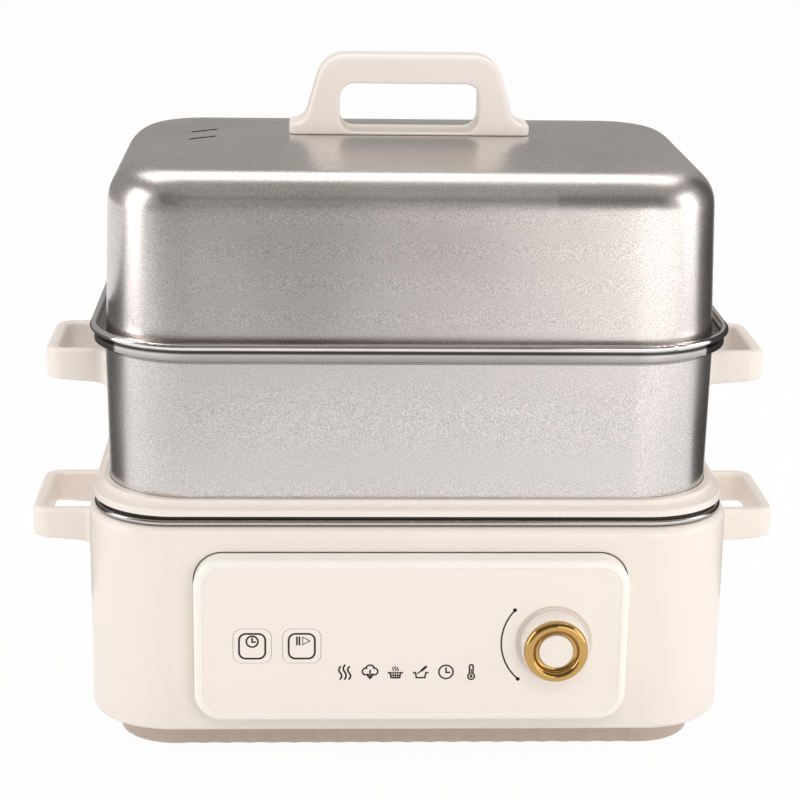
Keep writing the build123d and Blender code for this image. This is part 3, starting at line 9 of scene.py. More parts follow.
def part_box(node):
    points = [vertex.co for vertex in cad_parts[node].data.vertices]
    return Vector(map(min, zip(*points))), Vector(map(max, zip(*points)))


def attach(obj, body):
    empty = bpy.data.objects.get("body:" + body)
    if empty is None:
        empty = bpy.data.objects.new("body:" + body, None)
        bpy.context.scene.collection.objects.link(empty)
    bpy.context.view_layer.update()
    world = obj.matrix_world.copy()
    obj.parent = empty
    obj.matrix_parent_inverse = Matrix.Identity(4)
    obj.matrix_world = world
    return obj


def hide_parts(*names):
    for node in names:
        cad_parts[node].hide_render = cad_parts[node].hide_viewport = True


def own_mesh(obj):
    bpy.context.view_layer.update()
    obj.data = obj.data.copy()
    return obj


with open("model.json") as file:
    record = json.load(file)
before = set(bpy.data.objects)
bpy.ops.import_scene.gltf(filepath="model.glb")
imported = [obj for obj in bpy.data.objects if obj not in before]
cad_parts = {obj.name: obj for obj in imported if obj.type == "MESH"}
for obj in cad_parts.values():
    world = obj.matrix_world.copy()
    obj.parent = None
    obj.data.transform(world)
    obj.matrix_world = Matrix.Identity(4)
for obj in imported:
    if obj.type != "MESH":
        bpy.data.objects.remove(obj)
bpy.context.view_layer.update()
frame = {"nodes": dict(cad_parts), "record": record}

# Electric food steamer. Lengths are millimetres until they reach Blender, which
# takes metres. The front faces -Y and the table is at Z = 0.
MM = 0.001


def node_box(node):
    """The lowest and highest corner of a CAD node, in millimetres."""
    low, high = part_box(node)
    return low / MM, high / MM


base_low, base_high = node_box("outer_housing")
knob_low, knob_high = node_box("knob_body")
lid_low, lid_high = node_box("lid_shell")
PANEL_FACE_Y = node_box("panel_plate")[0].y
BASE_Y = (base_low.y + base_high.y) / 2
HALF_WIDTH = (base_high.x - base_low.x) / 2
HALF_DEPTH = (base_high.y - base_low.y) / 2
FOOT_LIFT = node_box("bottom_cover")[0].z

# Height of the basket's shoulder, where its polished neck and rim, with their painted reflection bands,
# begin
SHOULDER_Z = 213.6

# Painted reflection and shade on the neck and rim, as bright and dark bands by height: pairs of height over
# the shoulder and share of brightness
RIM_PAINTED_REFLECTIONS = ((-1.0, 1.0), (-0.5, 0.35), (0.5, 1.0), (1.5, 0.22), (2.8, 0.50), (5.4, 0.78), (6.4, 0.08),
             (7.4, 0.08), (8.0, 1.0))

# Gloss of the neck and rim, its slow waves, and the height over which it sets in
RIM_ROUGH = 0.09
RIM_ROUGH_SPREAD = 0.04
RIM_WAVE = 30.0
RIM_BLEND = 0.8
RIM_SPECKLE = (0.62, 0.70)

# Sandblasted grain, its dark specks and the slow clouds of its gloss
GRAIN = 0.56
SPECK_SHARE = 0.56
CLOUD = 70.0

# Waves and fine lines of polished steel
POLISH_WAVE = 30.0
POLISH_LINE = 3.0
POLISH_SWELL = 18.0
POLISH_SWELL_DEPTH = 0.02
POLISH_ROUGH_SPREAD = 0.06
POLISH_DARK_SHARE = 0.95

# Flow mottle, gloss mottle, sink marks and skin texture of moulded plastic
FLOW = 38.0
FLOW_DARK_SHARE = 0.985
GLOSS_MOTTLE = 2.4
SINK = 60.0
SINK_DEPTH = 0.03
SKIN = 0.5
PLASTIC_IOR = 1.49
COAT_ROUGH = 0.08


# Camera

CAMERA_PLACE = (-53.8, -1169.9, 498.6)
CAMERA_YAW = 2.52
CAMERA_PITCH = 16.01
CAMERA_ROLL = 0.87
FOCAL_PIXELS = 2166.8
IMAGE_PIXELS = 800
SENSOR = 36.0
NEAR_CLIP = 0.05
FAR_CLIP = 60.0


def make_camera():
    """The camera that was fitted to the outlines of the object."""
    yaw, pitch, roll = (math.radians(a) for a in (CAMERA_YAW, CAMERA_PITCH, CAMERA_ROLL))
    forward = Vector((math.sin(yaw) * math.cos(pitch), math.cos(yaw) * math.cos(pitch), -math.sin(pitch)))
    level = Vector((math.cos(yaw), -math.sin(yaw), 0.0))
    upright = level.cross(forward)
    right = level * math.cos(roll) + upright * math.sin(roll)
    up = upright * math.cos(roll) - level * math.sin(roll)
    data = bpy.data.cameras.new("camera")
    data.sensor_width = SENSOR
    data.lens = SENSOR * FOCAL_PIXELS / IMAGE_PIXELS
    data.clip_start = NEAR_CLIP
    data.clip_end = FAR_CLIP
    camera = bpy.data.objects.new("camera", data)
    camera.matrix_world = Matrix((
        (right.x, up.x, -forward.x, 0.0),
        (right.y, up.y, -forward.y, 0.0),
        (right.z, up.z, -forward.z, 0.0),
        (0.0, 0.0, 0.0, 1.0),
    ))
    x, y, z = CAMERA_PLACE
    camera.location = Vector((x, y + BASE_Y, z + FOOT_LIFT)) * MM
    bpy.context.scene.collection.objects.link(camera)
    bpy.context.scene.camera = camera


# Materials

# Part of its range over which a noise value is spread
NOISE_LOW = 0.3
NOISE_HIGH = 0.7


class Shader:
    """A material's node tree with one Principled shader and a few short helpers."""

    def __init__(self, name):
        self.material = bpy.data.materials.new(name)
        self.material.use_nodes = True
        self.tree = self.material.node_tree
        self.surface = self.tree.nodes["Principled BSDF"]
        self.place = self.node("ShaderNodeTexCoord").outputs["Object"]

    def node(self, kind, **inputs):
        made = self.tree.nodes.new(kind)
        for key, value in inputs.items():
            made.inputs[key.replace("_", " ")].default_value = value
        return made

    def link(self, source, target):
        self.tree.links.new(source, target)

    def set(self, **values):
        for key, value in values.items():
            self.surface.inputs[key.replace("_", " ")].default_value = value
        return self

    def noise(self, size, detail=2.0, stretch=(1.0, 1.0, 1.0)):
        """Noise whose blotches are about size millimetres across."""
        mapping = self.node("ShaderNodeMapping")
        mapping.inputs["Scale"].default_value = stretch
        self.link(self.place, mapping.inputs["Vector"])
        noise = self.node("ShaderNodeTexNoise", Scale=1.0 / (size * MM), Detail=detail)
        self.link(mapping.outputs["Vector"], noise.inputs["Vector"])
        return noise.outputs["Fac"]

    def spread(self, factor, low, high, start=NOISE_LOW, end=NOISE_HIGH):
        """Maps a value from start to end onto low to high."""
        change = self.node("ShaderNodeMapRange")
        for key, value in (("From Min", start), ("From Max", end), ("To Min", low), ("To Max", high)):
            change.inputs[key].default_value = value
        self.link(factor, change.inputs["Value"])
        return change.outputs["Result"]

    def mix(self, share, first, second):
        """A number that goes from the first to the second as the share goes from 0 to 1."""
        mix = self.node("ShaderNodeMix")
        for socket, source in zip(("Factor", "A", "B"), (share, first, second)):
            self.link(source, mix.inputs[socket])
        return mix.outputs["Result"]

    def bands(self, height, tones):
        """Painted light and shade in bands: a share of brightness that follows the height through pairs of
        millimetres and share.
        """
        low, high = tones[0][0], tones[-1][0]
        ramp = self.node("ShaderNodeValToRGB")
        self.link(self.spread(height, 0.0, 1.0, low * MM, high * MM), ramp.inputs["Fac"])
        stops = ramp.color_ramp.elements
        for i, (z, share) in enumerate(tones):
            place = (z - low) / (high - low)
            stop = stops[i] if i < 2 else stops.new(place)
            stop.position = place
            stop.color = (share, share, share, 1.0)
        return ramp.outputs["Color"]

    def shade(self, painted_reflection):
        """Multiplies the base colour by a painted reflection of light and shade."""
        colour = self.surface.inputs["Base Color"]
        mix = self.node("ShaderNodeMixRGB", Fac=1.0)
        mix.blend_type = "MULTIPLY"
        self.link(colour.links[0].from_socket, mix.inputs["Color1"])
        self.link(painted_reflection, mix.inputs["Color2"])
        self.link(mix.outputs["Color"], colour)

    def tint(self, factor, dark, light):
        """Mixes two colours by a noise value."""
        ramp = self.node("ShaderNodeValToRGB")
        ramp.color_ramp.elements[0].position = NOISE_LOW
        ramp.color_ramp.elements[1].position = NOISE_HIGH
        ramp.color_ramp.elements[0].color = (*dark, 1.0)
        ramp.color_ramp.elements[1].color = (*light, 1.0)
        self.link(factor, ramp.inputs["Fac"])
        self.link(ramp.outputs["Color"], self.surface.inputs["Base Color"])

    def rough(self, factor, low, high):
        self.link(self.spread(factor, low, high), self.surface.inputs["Roughness"])

    def bump(self, *layers):
        """Layers are pairs of a height value and its depth in millimetres."""
        normal = None
        for height, depth in layers:
            bump = self.node("ShaderNodeBump", Strength=1.0, Distance=depth * MM)
            self.link(height, bump.inputs["Height"])
            if normal is not None:
                self.link(normal, bump.inputs["Normal"])
            normal = bump.outputs["Normal"]
        self.link(normal, self.surface.inputs["Normal"])


def darker(colour, share):
    return tuple(c * share for c in colour)


def satin_steel(name, colour, rough_low, rough_high, grain=0.005, polished_from=None):
    """Fine sandblasted stainless steel: mottled grain with slow changes of gloss.

    Above the height polished_from the sheet is polished, as at a rolled rim, and bright and dark bands of
    painted reflection and shade lie on it by height."""
    shader = Shader(name)
    speckle = shader.noise(GRAIN)
    cloud = shader.noise(CLOUD, 1.0)
    roughness = shader.spread(cloud, rough_low, rough_high)
    if polished_from is not None:
        height = shader.node("ShaderNodeSeparateXYZ")
        shader.link(shader.place, height.inputs["Vector"])
        band_end = (polished_from + RIM_BLEND) * MM
        band = shader.spread(height.outputs["Z"], 0.0, 1.0, polished_from * MM, band_end)
        bright = shader.noise(RIM_WAVE, 1.0)
        rim_rough = shader.spread(bright, RIM_ROUGH, RIM_ROUGH + RIM_ROUGH_SPREAD)
        roughness = shader.mix(band, roughness, rim_rough)
        speckle = shader.mix(band, speckle, shader.spread(bright, *RIM_SPECKLE))
        # Painted reflection and shade: bands by height that brighten and darken the neck and rim
        painted_reflection = shader.bands(height.outputs["Z"], [(z + polished_from, share) for z, share in RIM_PAINTED_REFLECTIONS])
    shader.tint(speckle, darker(colour, SPECK_SHARE), colour)
    if polished_from is not None:
        shader.shade(painted_reflection)
    shader.link(roughness, shader.surface.inputs["Roughness"])
    shader.bump((speckle, grain))
    return shader.set(Metallic=1.0).material


def polished_steel(name, colour, rough):
    """Bright steel or brass with slow swells and fine lines of gloss."""
    shader = Shader(name)
    shader.tint(shader.noise(POLISH_WAVE), darker(colour, POLISH_DARK_SHARE), colour)
    shader.rough(shader.noise(POLISH_LINE, 3.0), rough, rough + POLISH_ROUGH_SPREAD)
    shader.bump((shader.noise(POLISH_SWELL, 1.0), POLISH_SWELL_DEPTH))
    return shader.set(Metallic=1.0).material


def moulded_plastic(name, colour, rough_low, rough_high, grain=0.002, coat=0.0):
    """Moulded plastic with a faint flow mottle and a fine skin texture."""
    shader = Shader(name)
    shader.tint(shader.noise(FLOW), darker(colour, FLOW_DARK_SHARE), colour)
    shader.rough(shader.noise(GLOSS_MOTTLE, 3.0), rough_low, rough_high)
    shader.bump((shader.noise(SINK, 1.0), SINK_DEPTH), (shader.noise(SKIN), grain))
    shader.set(Coat_Weight=coat, Coat_Roughness=COAT_ROUGH, IOR=PLASTIC_IOR)
    return shader.material


def make_materials():
    cream = (0.895, 0.825, 0.765)
    steel = (0.90, 0.855, 0.83)
    return {
        "cream_plastic": moulded_plastic("cream_plastic", cream, 0.30, 0.38),
        "cream_gloss": moulded_plastic("cream_gloss", (0.925, 0.855, 0.795), 0.16, 0.20, 0.0008, coat=0.35),
        "greige_plastic": moulded_plastic("greige_plastic", (0.60, 0.505, 0.435), 0.45, 0.55, 0.006),
        "satin_steel": satin_steel("satin_steel", steel, 0.25, 0.33),
        "basket_steel": satin_steel("basket_steel", steel, 0.27, 0.36, polished_from=SHOULDER_Z),
        "pot_steel": polished_steel("pot_steel", (0.62, 0.58, 0.55), 0.14),
        "gold_ring": polished_steel("gold_ring", (0.60, 0.37, 0.125), 0.05),
        "black_rubber": moulded_plastic("black_rubber", (0.02, 0.02, 0.02), 0.5, 0.6, 0.01),
        "shield_steel": polished_steel("shield_steel", (0.55, 0.55, 0.55), 0.25),
        "cast_aluminium": satin_steel("cast_aluminium", (0.50, 0.50, 0.51), 0.40, 0.52, 0.02),
        "element_steel": satin_steel("element_steel", (0.25, 0.22, 0.20), 0.35, 0.5, 0.01),
        "probe_aluminium": polished_steel("probe_aluminium", (0.72, 0.72, 0.72), 0.2),
        "zinc_steel": polished_steel("zinc_steel", (0.52, 0.52, 0.50), 0.28),
        "stainless_fasteners": polished_steel("stainless_fasteners", (0.62, 0.61, 0.60), 0.16),
        "black_plastic": moulded_plastic("black_plastic", (0.022, 0.022, 0.023), 0.42, 0.55, 0.006),
        "board_green": moulded_plastic("board_green", (0.03, 0.16, 0.07), 0.3, 0.4, 0.004),
        "led_white": moulded_plastic("led_white", (0.85, 0.85, 0.80), 0.15, 0.2, 0.001),
        "pin_brass": polished_steel("pin_brass", (0.75, 0.58, 0.30), 0.15),
        "relay_blue": moulded_plastic("relay_blue", (0.04, 0.12, 0.42), 0.35, 0.45),
        "transformer_yellow": moulded_plastic("transformer_yellow", (0.66, 0.50, 0.07), 0.4, 0.5),
        "wire_grey": moulded_plastic("wire_grey", (0.25, 0.25, 0.26), 0.5, 0.6, 0.004),
        # Lighter glossy cream: on the panel frame it is painted light for its shaded bevel, and on the plate
        # bead it partly paints a highlight
        "bead_gloss": moulded_plastic("bead_gloss", (0.97, 0.93, 0.88), 0.12, 0.16, 0.0005, coat=0.5),
        # Dark brown, also used for the painted shadow in the panel seam and the painted shade on the steam
        # slot walls
        "seal_brown": moulded_plastic("seal_brown", (0.030, 0.018, 0.014), 0.6, 0.7, 0.002),
        "print_brown": moulded_plastic("print_brown", (0.012, 0.007, 0.006), 0.6, 0.7, 0.001),
    }


# Nodes that are shown with another material than that of their record slot: the basket with its polished rim
# and painted reflection bands, and the panel frame in a lighter cream all over, painted light for its shaded
# top bevel
FINISHES_AND_PAINTED_LIGHT = {"basket_shell": "basket_steel", "panel_frame": "bead_gloss"}

# Moulded grips, and the cell and rounds of smoothing that soften their edges
GRIPS = ("lid_handle", "base_handle_left", "base_handle_right", "basket_handle_left", "basket_handle_right")
GRIP_CELL = 0.8
GRIP_SMOOTHING = 12
LID_GRIP_CELL = 0.6
LID_GRIP_SMOOTHING = 14
GRIP_SMOOTHING_SHARE = 0.5


def soften_grips():
    """Rounds the moulded grips all over, as their soft edges are too blended for plain fillets."""
    for name in GRIPS:
        node = frame["nodes"][name]
        on_lid = name == "lid_handle"
        cells = node.modifiers.new("even_cells", "REMESH")
        cells.mode = "VOXEL"
        cells.voxel_size = (LID_GRIP_CELL if on_lid else GRIP_CELL) * MM
        cells.use_smooth_shade = True
        soft = node.modifiers.new("soft_edges", "SMOOTH")
        soft.factor = GRIP_SMOOTHING_SHARE
        soft.iterations = LID_GRIP_SMOOTHING if on_lid else GRIP_SMOOTHING


def dress_cad_nodes(materials):
    """Gives every CAD node the material of its record slot, or the other material listed for it, such as the
    lighter cream that paints light onto the panel frame.
    """
    for part in frame["record"]["subparts"]:
        node = frame["nodes"][part["node"]]
        finish = FINISHES_AND_PAINTED_LIGHT.get(part["node"], part["material_slot"])
        node.data.materials.clear()
        node.data.materials.append(materials[finish])


# Mesh helpers

def new_piece(name, mesh, material, body, replaced=()):
    """Links a mesh as a piece of the object that rides on a body."""
    piece = bpy.data.objects.new(name, mesh)
    bpy.context.scene.collection.objects.link(piece)
    mesh.materials.append(material)
    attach(piece, body)
    if replaced:
        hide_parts(*replaced)
    return piece


# Signs of the corners of a rectangle, counter-clockwise
CORNERS = ((1, 1), (-1, 1), (-1, -1), (1, -1))

# Steps of a corner of the lid, and the spacing and the steps along its straight sides
CORNER_STEPS = 22
SIDE_SPACING = 9.0
BOTH_CORNERS = 90.0
WIDTH_STEPS = round((2 * HALF_WIDTH - BOTH_CORNERS) / SIDE_SPACING)
DEPTH_STEPS = round((2 * HALF_DEPTH - BOTH_CORNERS) / SIDE_SPACING)


def outline_points(half_x, half_y, corner):
    """A rounded rectangle, counter-clockwise, with the same count of points at any inset."""
    points = []
    for quarter, (sx, sy) in enumerate(CORNERS):
        centre_x, centre_y = sx * (half_x - corner), sy * (half_y - corner)
        for i in range(CORNER_STEPS + 1):
            angle = math.radians(90 * (quarter + i / CORNER_STEPS))
            points.append((centre_x + corner * math.cos(angle), centre_y + corner * math.sin(angle)))
        next_sx, next_sy = CORNERS[(quarter + 1) % 4]
        along_x = quarter % 2 == 0
        steps = WIDTH_STEPS if along_x else DEPTH_STEPS
        start = points[-1]
        end = (next_sx * (half_x - corner), start[1]) if along_x else (start[0], next_sy * (half_y - corner))
        for i in range(1, steps):
            share = i / steps
            points.append((start[0] + (end[0] - start[0]) * share, start[1] + (end[1] - start[1]) * share))
    return points


def shell_mesh(name, profile):
    """A surface through rounded-rectangle outlines. Profile entries are inset, height and corner radius."""
    mesh = bpy.data.meshes.new(name)
    form = bmesh.new()
    rings = []
    for inset, z, corner in profile:
        ring = [form.verts.new((x * MM, (y + BASE_Y) * MM, z * MM))
                for x, y in outline_points(HALF_WIDTH - inset, HALF_DEPTH - inset, corner)]
        rings.append(ring)
    for low, high in zip(rings, rings[1:]):
        for i in range(len(low)):
            j = (i + 1) % len(low)
            form.faces.new((low[i], low[j], high[j], high[i]))
    form.faces.new(rings[-1])
    form.faces.new(list(reversed(rings[0])))
    bmesh.ops.recalc_face_normals(form, faces=form.faces)
    for face in form.faces:
        face.smooth = len(face.verts) == 4
    form.to_mesh(mesh)
    form.free()
    return mesh


def arc_profile(centre, radius, start, end, steps, corner_at):
    """Profile entries along an arc in the plane of inset and height, angles in degrees."""
    entries = []
    for i in range(steps + 1):
        angle = math.radians(start + (end - start) * i / steps)
        inset = centre[0] - radius * math.cos(angle)
        entries.append((inset, centre[1] + radius * math.sin(angle), corner_at(inset)))
    return entries


def run_profile(start, end, steps, corner_at):
    """Profile entries along a straight line, without its first point."""
    return [
        (start[0] + (end[0] - start[0]) * i / steps, start[1] + (end[1] - start[1]) * i / steps,
         corner_at(start[0] + (end[0] - start[0]) * i / steps))
        for i in range(1, steps + 1)
    ]


# Lid: insets are measured from the outer housing

LID_LOW_INSET = 9.9
LID_HIGH_INSET = 12.9
LID_CORNER = 45.0
LID_FILLET = 21.0
LID_SHEET = 1.0
LID_HEM_INSET = 7.4
LID_HEM_BLEND = 2.0
LID_HEM_EASE = 0.15
LID_LIP_EASE = (0.2, 0.5)
LID_LIP_WIDTH = 0.7
CROWN_RISE = 6.0
CROWN_TILT = 7.0
CROWN_END_SLOPE = 0.03
PLATEAU_INSET = 91.0
PLATEAU_CORNER = 18.0
WALL_STEPS = 12
FILLET_STEPS = 28
CROWN_STEPS = 24
HEM_STEPS = 7
SLOT_CENTRES = ((-111.0, -10.0), (-111.0, 14.0))
SLOT_LENGTH = 15.0
SLOT_WIDTH = 3.6
SLOT_SIDES = 24
SLOT_CUT_PAST = 10.0
SHARP_ANGLE = 40.0


def lid_profile(sheet):
    """Profile of the lid from above its hem to the plateau, outside or one sheet further in."""
    top = lid_high.z - CROWN_RISE
    lean = (LID_HIGH_INSET - LID_LOW_INSET) / (top - lid_low.z)
    tilt = math.atan(lean)
    centre_z = top - LID_FILLET
    wall = LID_LOW_INSET + lean * (centre_z - lid_low.z)
    centre = wall + LID_FILLET / math.cos(tilt)
    radius = LID_FILLET - sheet

    def corner_at(inset):
        return LID_CORNER + wall - inset

    start_z = lid_low.z + LID_SHEET + LID_HEM_BLEND
    start = (LID_LOW_INSET + lean * (start_z - lid_low.z) + sheet, start_z)
    arc = arc_profile((centre, centre_z), radius, math.degrees(tilt), 90.0 - CROWN_TILT,
                      FILLET_STEPS, corner_at)
    foot = (start[0], start[1], LID_CORNER - sheet)
    wall_run = run_profile(foot[:2], arc[0][:2], WALL_STEPS, corner_at)
    profile = [foot] + wall_run[:-1] + arc
    crown_start = arc[-1]
    span = PLATEAU_INSET - crown_start[0]
    rise = lid_high.z - sheet - crown_start[1]
    first, last = math.tan(math.radians(CROWN_TILT)) * span, CROWN_END_SLOPE * span
    for i in range(1, CROWN_STEPS + 1):
        t = i / CROWN_STEPS
        z = (t ** 3 - 2 * t ** 2 + t) * first + (3 * t ** 2 - 2 * t ** 3) * rise + (t ** 3 - t ** 2) * last
        corner = crown_start[2] + (PLATEAU_CORNER - crown_start[2]) * t
        profile.append((crown_start[0] + span * t, crown_start[1] + z, corner))
    return profile


def cut_slots(piece, low_z, high_z, painted_slot_shade):
    """Cuts the round-ended steam slots along X through the lid and keeps their edges crisp. The cut walls
    take the cutter's dark material, painted shade for the dark inside of the slots.
    """
    form = bmesh.new()
    length, width = SLOT_LENGTH, SLOT_WIDTH
    for x, y in SLOT_CENTRES:
        rim = []
        for i in range(SLOT_SIDES):
            angle = 2 * math.pi * i / SLOT_SIDES
            end = (length - width) / 2 * (1 if math.cos(angle) >= 0 else -1)
            rim.append((x + end + width / 2 * math.cos(angle), y + width / 2 * math.sin(angle)))
        low = [form.verts.new((px * MM, (py + BASE_Y) * MM, low_z * MM)) for px, py in rim]
        high = [form.verts.new((px * MM, (py + BASE_Y) * MM, high_z * MM)) for px, py in rim]
        form.faces.new(list(reversed(low)))
        form.faces.new(high)
        for i in range(SLOT_SIDES):
            j = (i + 1) % SLOT_SIDES
            form.faces.new((low[i], low[j], high[j], high[i]))
    mesh = bpy.data.meshes.new("slot_cutter")
    form.to_mesh(mesh)
    form.free()
    mesh.materials.append(painted_slot_shade)
    cutter = bpy.data.objects.new("slot_cutter", mesh)
    bpy.context.scene.collection.objects.link(cutter)
    cut = piece.modifiers.new("slots", "BOOLEAN")
    cut.object = cutter
    cut.operation = "DIFFERENCE"
    cut.solver = "EXACT"
    # The cutter's dark material moves onto the slot walls as painted shade
    cut.material_mode = "TRANSFER"
    ready = piece.evaluated_get(bpy.context.evaluated_depsgraph_get())
    finished = bpy.data.meshes.new_from_object(ready)
    finished.set_sharp_from_angle(angle=math.radians(SHARP_ANGLE))
    piece.modifiers.clear()
    piece.data = finished
    bpy.data.objects.remove(cutter)


def make_lid(material, painted_slot_shade):
    """The whole lid of steel sheet: underside, hem and smooth crown, with its two steam slots, whose walls
    are painted dark as shade.
    """
    hem_z = lid_low.z
    inner = list(reversed(lid_profile(LID_SHEET)))
    inner_foot = inner[-1]
    hem_corner = LID_CORNER + LID_LOW_INSET - LID_HEM_INSET
    edge = LID_SHEET / 2
    ease_in, ease_up = LID_LIP_EASE
    lip = [
        (inner_foot[0] - ease_in, hem_z + ease_up, LID_CORNER - LID_SHEET),
        (inner_foot[0] - LID_LIP_WIDTH, hem_z, LID_CORNER - edge),
        (LID_HEM_INSET + edge, hem_z, hem_corner - edge),
        (LID_HEM_INSET + LID_HEM_EASE, hem_z + LID_HEM_EASE, hem_corner),
        (LID_HEM_INSET, hem_z + edge, hem_corner),
        (LID_HEM_INSET + LID_HEM_EASE, hem_z + LID_SHEET - LID_HEM_EASE, hem_corner),
        (LID_HEM_INSET + edge, hem_z + LID_SHEET, hem_corner - edge),
    ]
    blend = LID_LOW_INSET - LID_HEM_INSET - edge
    for i in range(1, HEM_STEPS):
        angle = math.radians(90 * i / HEM_STEPS)
        inset = LID_HEM_INSET + edge + blend * math.sin(angle)
        z = hem_z + LID_SHEET + LID_HEM_BLEND * (1 - math.cos(angle))
        lip.append((inset, z, LID_CORNER + LID_LOW_INSET - inset))
    outer = lid_profile(0.0)
    mesh = shell_mesh("steel_lid", inner + lip + outer)
    lid = new_piece("steel_lid", mesh, material, "lid", ["lid_shell"])
    top = lid_high.z - CROWN_RISE
    cut_slots(lid, top - SLOT_CUT_PAST, top + SLOT_CUT_PAST, painted_slot_shade)


# The real spring of the temperature probe shortens as the probe is pressed; here it is a still copy of its
# CAD node on the root body


def make_probe_spring(material):
    mesh = frame["nodes"]["probe_spring"].data.copy()
    mesh.materials.clear()
    spring = new_piece("sensor_spring", mesh, material, "root", ["probe_spring"])
    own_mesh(spring)


# Prints on the panel: plain pictograms drawn with round-ended pens

PRINT_PROUD = 0.05
PEN = 0.86
STEAM_PEN = 0.95
VEIN_PEN = 0.85
THIN_PEN = 0.6
GRID_PEN = 0.5
WISP_PEN = 0.55
STICK_PEN = 0.7
SPOON_PEN = 1.3
KEY_PEN = 0.9
PLAY_PEN = 0.85
DIAL_PEN = 0.85
DISC_STEPS = 24
PEN_END_STEPS = 12
ARC_STEP = 8
WAVE_STEPS = 18
MITRE_LIMIT = 2.0
FLATTEST_MITRE = 0.1


class Print:
    """Flat ink strokes on the panel, drawn in millimetres from the middle of the picture."""

    def __init__(self, name, centre_x, centre_z, face_y):
        self.name = name
        self.centre = (centre_x, centre_z)
        self.face_y = face_y
        self.form = bmesh.new()

    def place(self, x, z, depth):
        centre_x, centre_z = self.centre
        return self.form.verts.new(((centre_x + x) * MM, (self.face_y - depth) * MM, (centre_z + z) * MM))

    def fill(self, points):
        """A filled outline, given anticlockwise as seen from the front."""
        front = [self.place(x, z, PRINT_PROUD) for x, z in points]
        back = [self.place(x, z, -PRINT_PROUD) for x, z in points]
        self.form.faces.new(front)
        self.form.faces.new(list(reversed(back)))
        for i in range(len(points)):
            j = (i + 1) % len(points)
            self.form.faces.new((front[i], back[i], back[j], front[j]))

    def disc(self, x, z, radius, steps=DISC_STEPS):
        turns = [2 * math.pi * i / steps for i in range(steps)]
        self.fill([(x + radius * math.cos(a), z + radius * math.sin(a)) for a in turns])

    def line(self, points, width=PEN, closed=False):
        """A stroke of even width with round ends."""
        count = len(points)
        sides = []
        for i, (x, z) in enumerate(points):
            before = points[i - 1] if i > 0 or closed else None
            after = points[(i + 1) % count] if i < count - 1 or closed else None
            normals = []
            for start, end in ((before, (x, z)), ((x, z), after)):
                if start is None or end is None:
                    continue
                length = math.hypot(end[0] - start[0], end[1] - start[1])
                normals.append(((start[1] - end[1]) / length, (end[0] - start[0]) / length))
            nx, nz = (sum(n[k] for n in normals) / len(normals) for k in (0, 1))
            stretch = min(MITRE_LIMIT, 1.0 / max(nx * nx + nz * nz, FLATTEST_MITRE)) * width / 2
            sides.append(((x + nx * stretch, z + nz * stretch), (x - nx * stretch, z - nz * stretch)))
        last = count if closed else count - 1
        rings = []
        for left, right in sides:
            rings.append([self.place(*left, PRINT_PROUD), self.place(*right, PRINT_PROUD),
                          self.place(*right, -PRINT_PROUD), self.place(*left, -PRINT_PROUD)])
        for i in range(last):
            ring, following = rings[i], rings[(i + 1) % count]
            for k in range(4):
                self.form.faces.new((ring[k], ring[(k + 1) % 4], following[(k + 1) % 4], following[k]))
        if not closed:
            self.form.faces.new(rings[0])
            self.form.faces.new(list(reversed(rings[-1])))
            for end in (points[0], points[-1]):
                self.disc(*end, width / 2, PEN_END_STEPS)

    def arc(self, x, z, radius, start, end, width=PEN):
        """A stroke along an arc, angles in degrees, anticlockwise from the right."""
        steps = int(abs(end - start) / ARC_STEP)
        angles = [math.radians(start + (end - start) * i / steps) for i in range(steps + 1)]
        points = [(x + radius * math.cos(a), z + radius * math.sin(a)) for a in angles]
        if abs(end - start) >= 360:
            self.line(points[:-1], width, closed=True)
        else:
            self.line(points, width)

    def finish(self, material, body):
        bmesh.ops.recalc_face_normals(self.form, faces=self.form.faces)
        mesh = bpy.data.meshes.new(self.name)
        self.form.to_mesh(mesh)
        self.form.free()
        return new_piece(self.name, mesh, material, body)


def wave(x, low, high, swing):
    """A line of steam that swings once to each side."""
    shares = [i / WAVE_STEPS for i in range(WAVE_STEPS + 1)]
    return [(x + swing * math.sin(2 * math.pi * t), low + (high - low) * t) for t in shares]


def draw_steam(ink):
    for x, low, high in ((-2.3, -3.9, 3.0), (0.0, -3.9, 3.9), (2.3, -3.9, 3.0)):
        ink.line(wave(x, low, high, 0.75), STEAM_PEN)


def draw_stew(ink):
    ink.arc(-2.1, 0.3, 1.9, 80, 250)
    ink.arc(0.0, 1.6, 2.3, 20, 160)
    ink.arc(2.1, 0.3, 1.9, -70, 100)
    ink.line([(-2.4, -1.5), (-0.9, -1.5)])
    ink.line([(0.9, -1.5), (2.4, -1.5)])
    ink.line([(0.0, 1.0), (0.0, -3.6)], VEIN_PEN)
    ink.line([(-1.3, -1.2), (-0.9, -2.6), (0.0, -3.6), (0.9, -2.6), (1.3, -1.2)])


PAN_OUTLINE = ((-3.7, -0.4), (-2.7, -0.4), (-2.2, -3.2), (2.2, -3.2), (2.7, -0.4), (3.7, -0.4))


def draw_pan(ink):
    ink.line(PAN_OUTLINE)
    ink.line([(-2.3, -0.4), (2.3, -0.4)], THIN_PEN)
    ink.line([(-2.4, -1.8), (2.4, -1.8)], THIN_PEN)
    for x in (-1.2, 0.0, 1.2):
        ink.line([(x, -0.6), (x * 0.9, -3.0)], GRID_PEN)
    for x, high in ((-1.2, 2.6), (0.0, 3.2), (1.2, 2.6)):
        ink.line(wave(x, 0.6, high, 0.35), WISP_PEN)


def draw_stir(ink):
    ink.line(PAN_OUTLINE)
    ink.line([(-1.6, -0.9), (0.6, 0.9)], STICK_PEN)
    ink.line([(0.6, 0.9), (2.7, 2.9)], SPOON_PEN)


def draw_clock(ink, radius=3.7, width=PEN):
    ink.arc(0.0, 0.0, radius, 0, 360, width)
    ink.line([(0.0, radius * 0.62), (0.0, -radius * 0.08), (radius * 0.52, -radius * 0.08)], width)


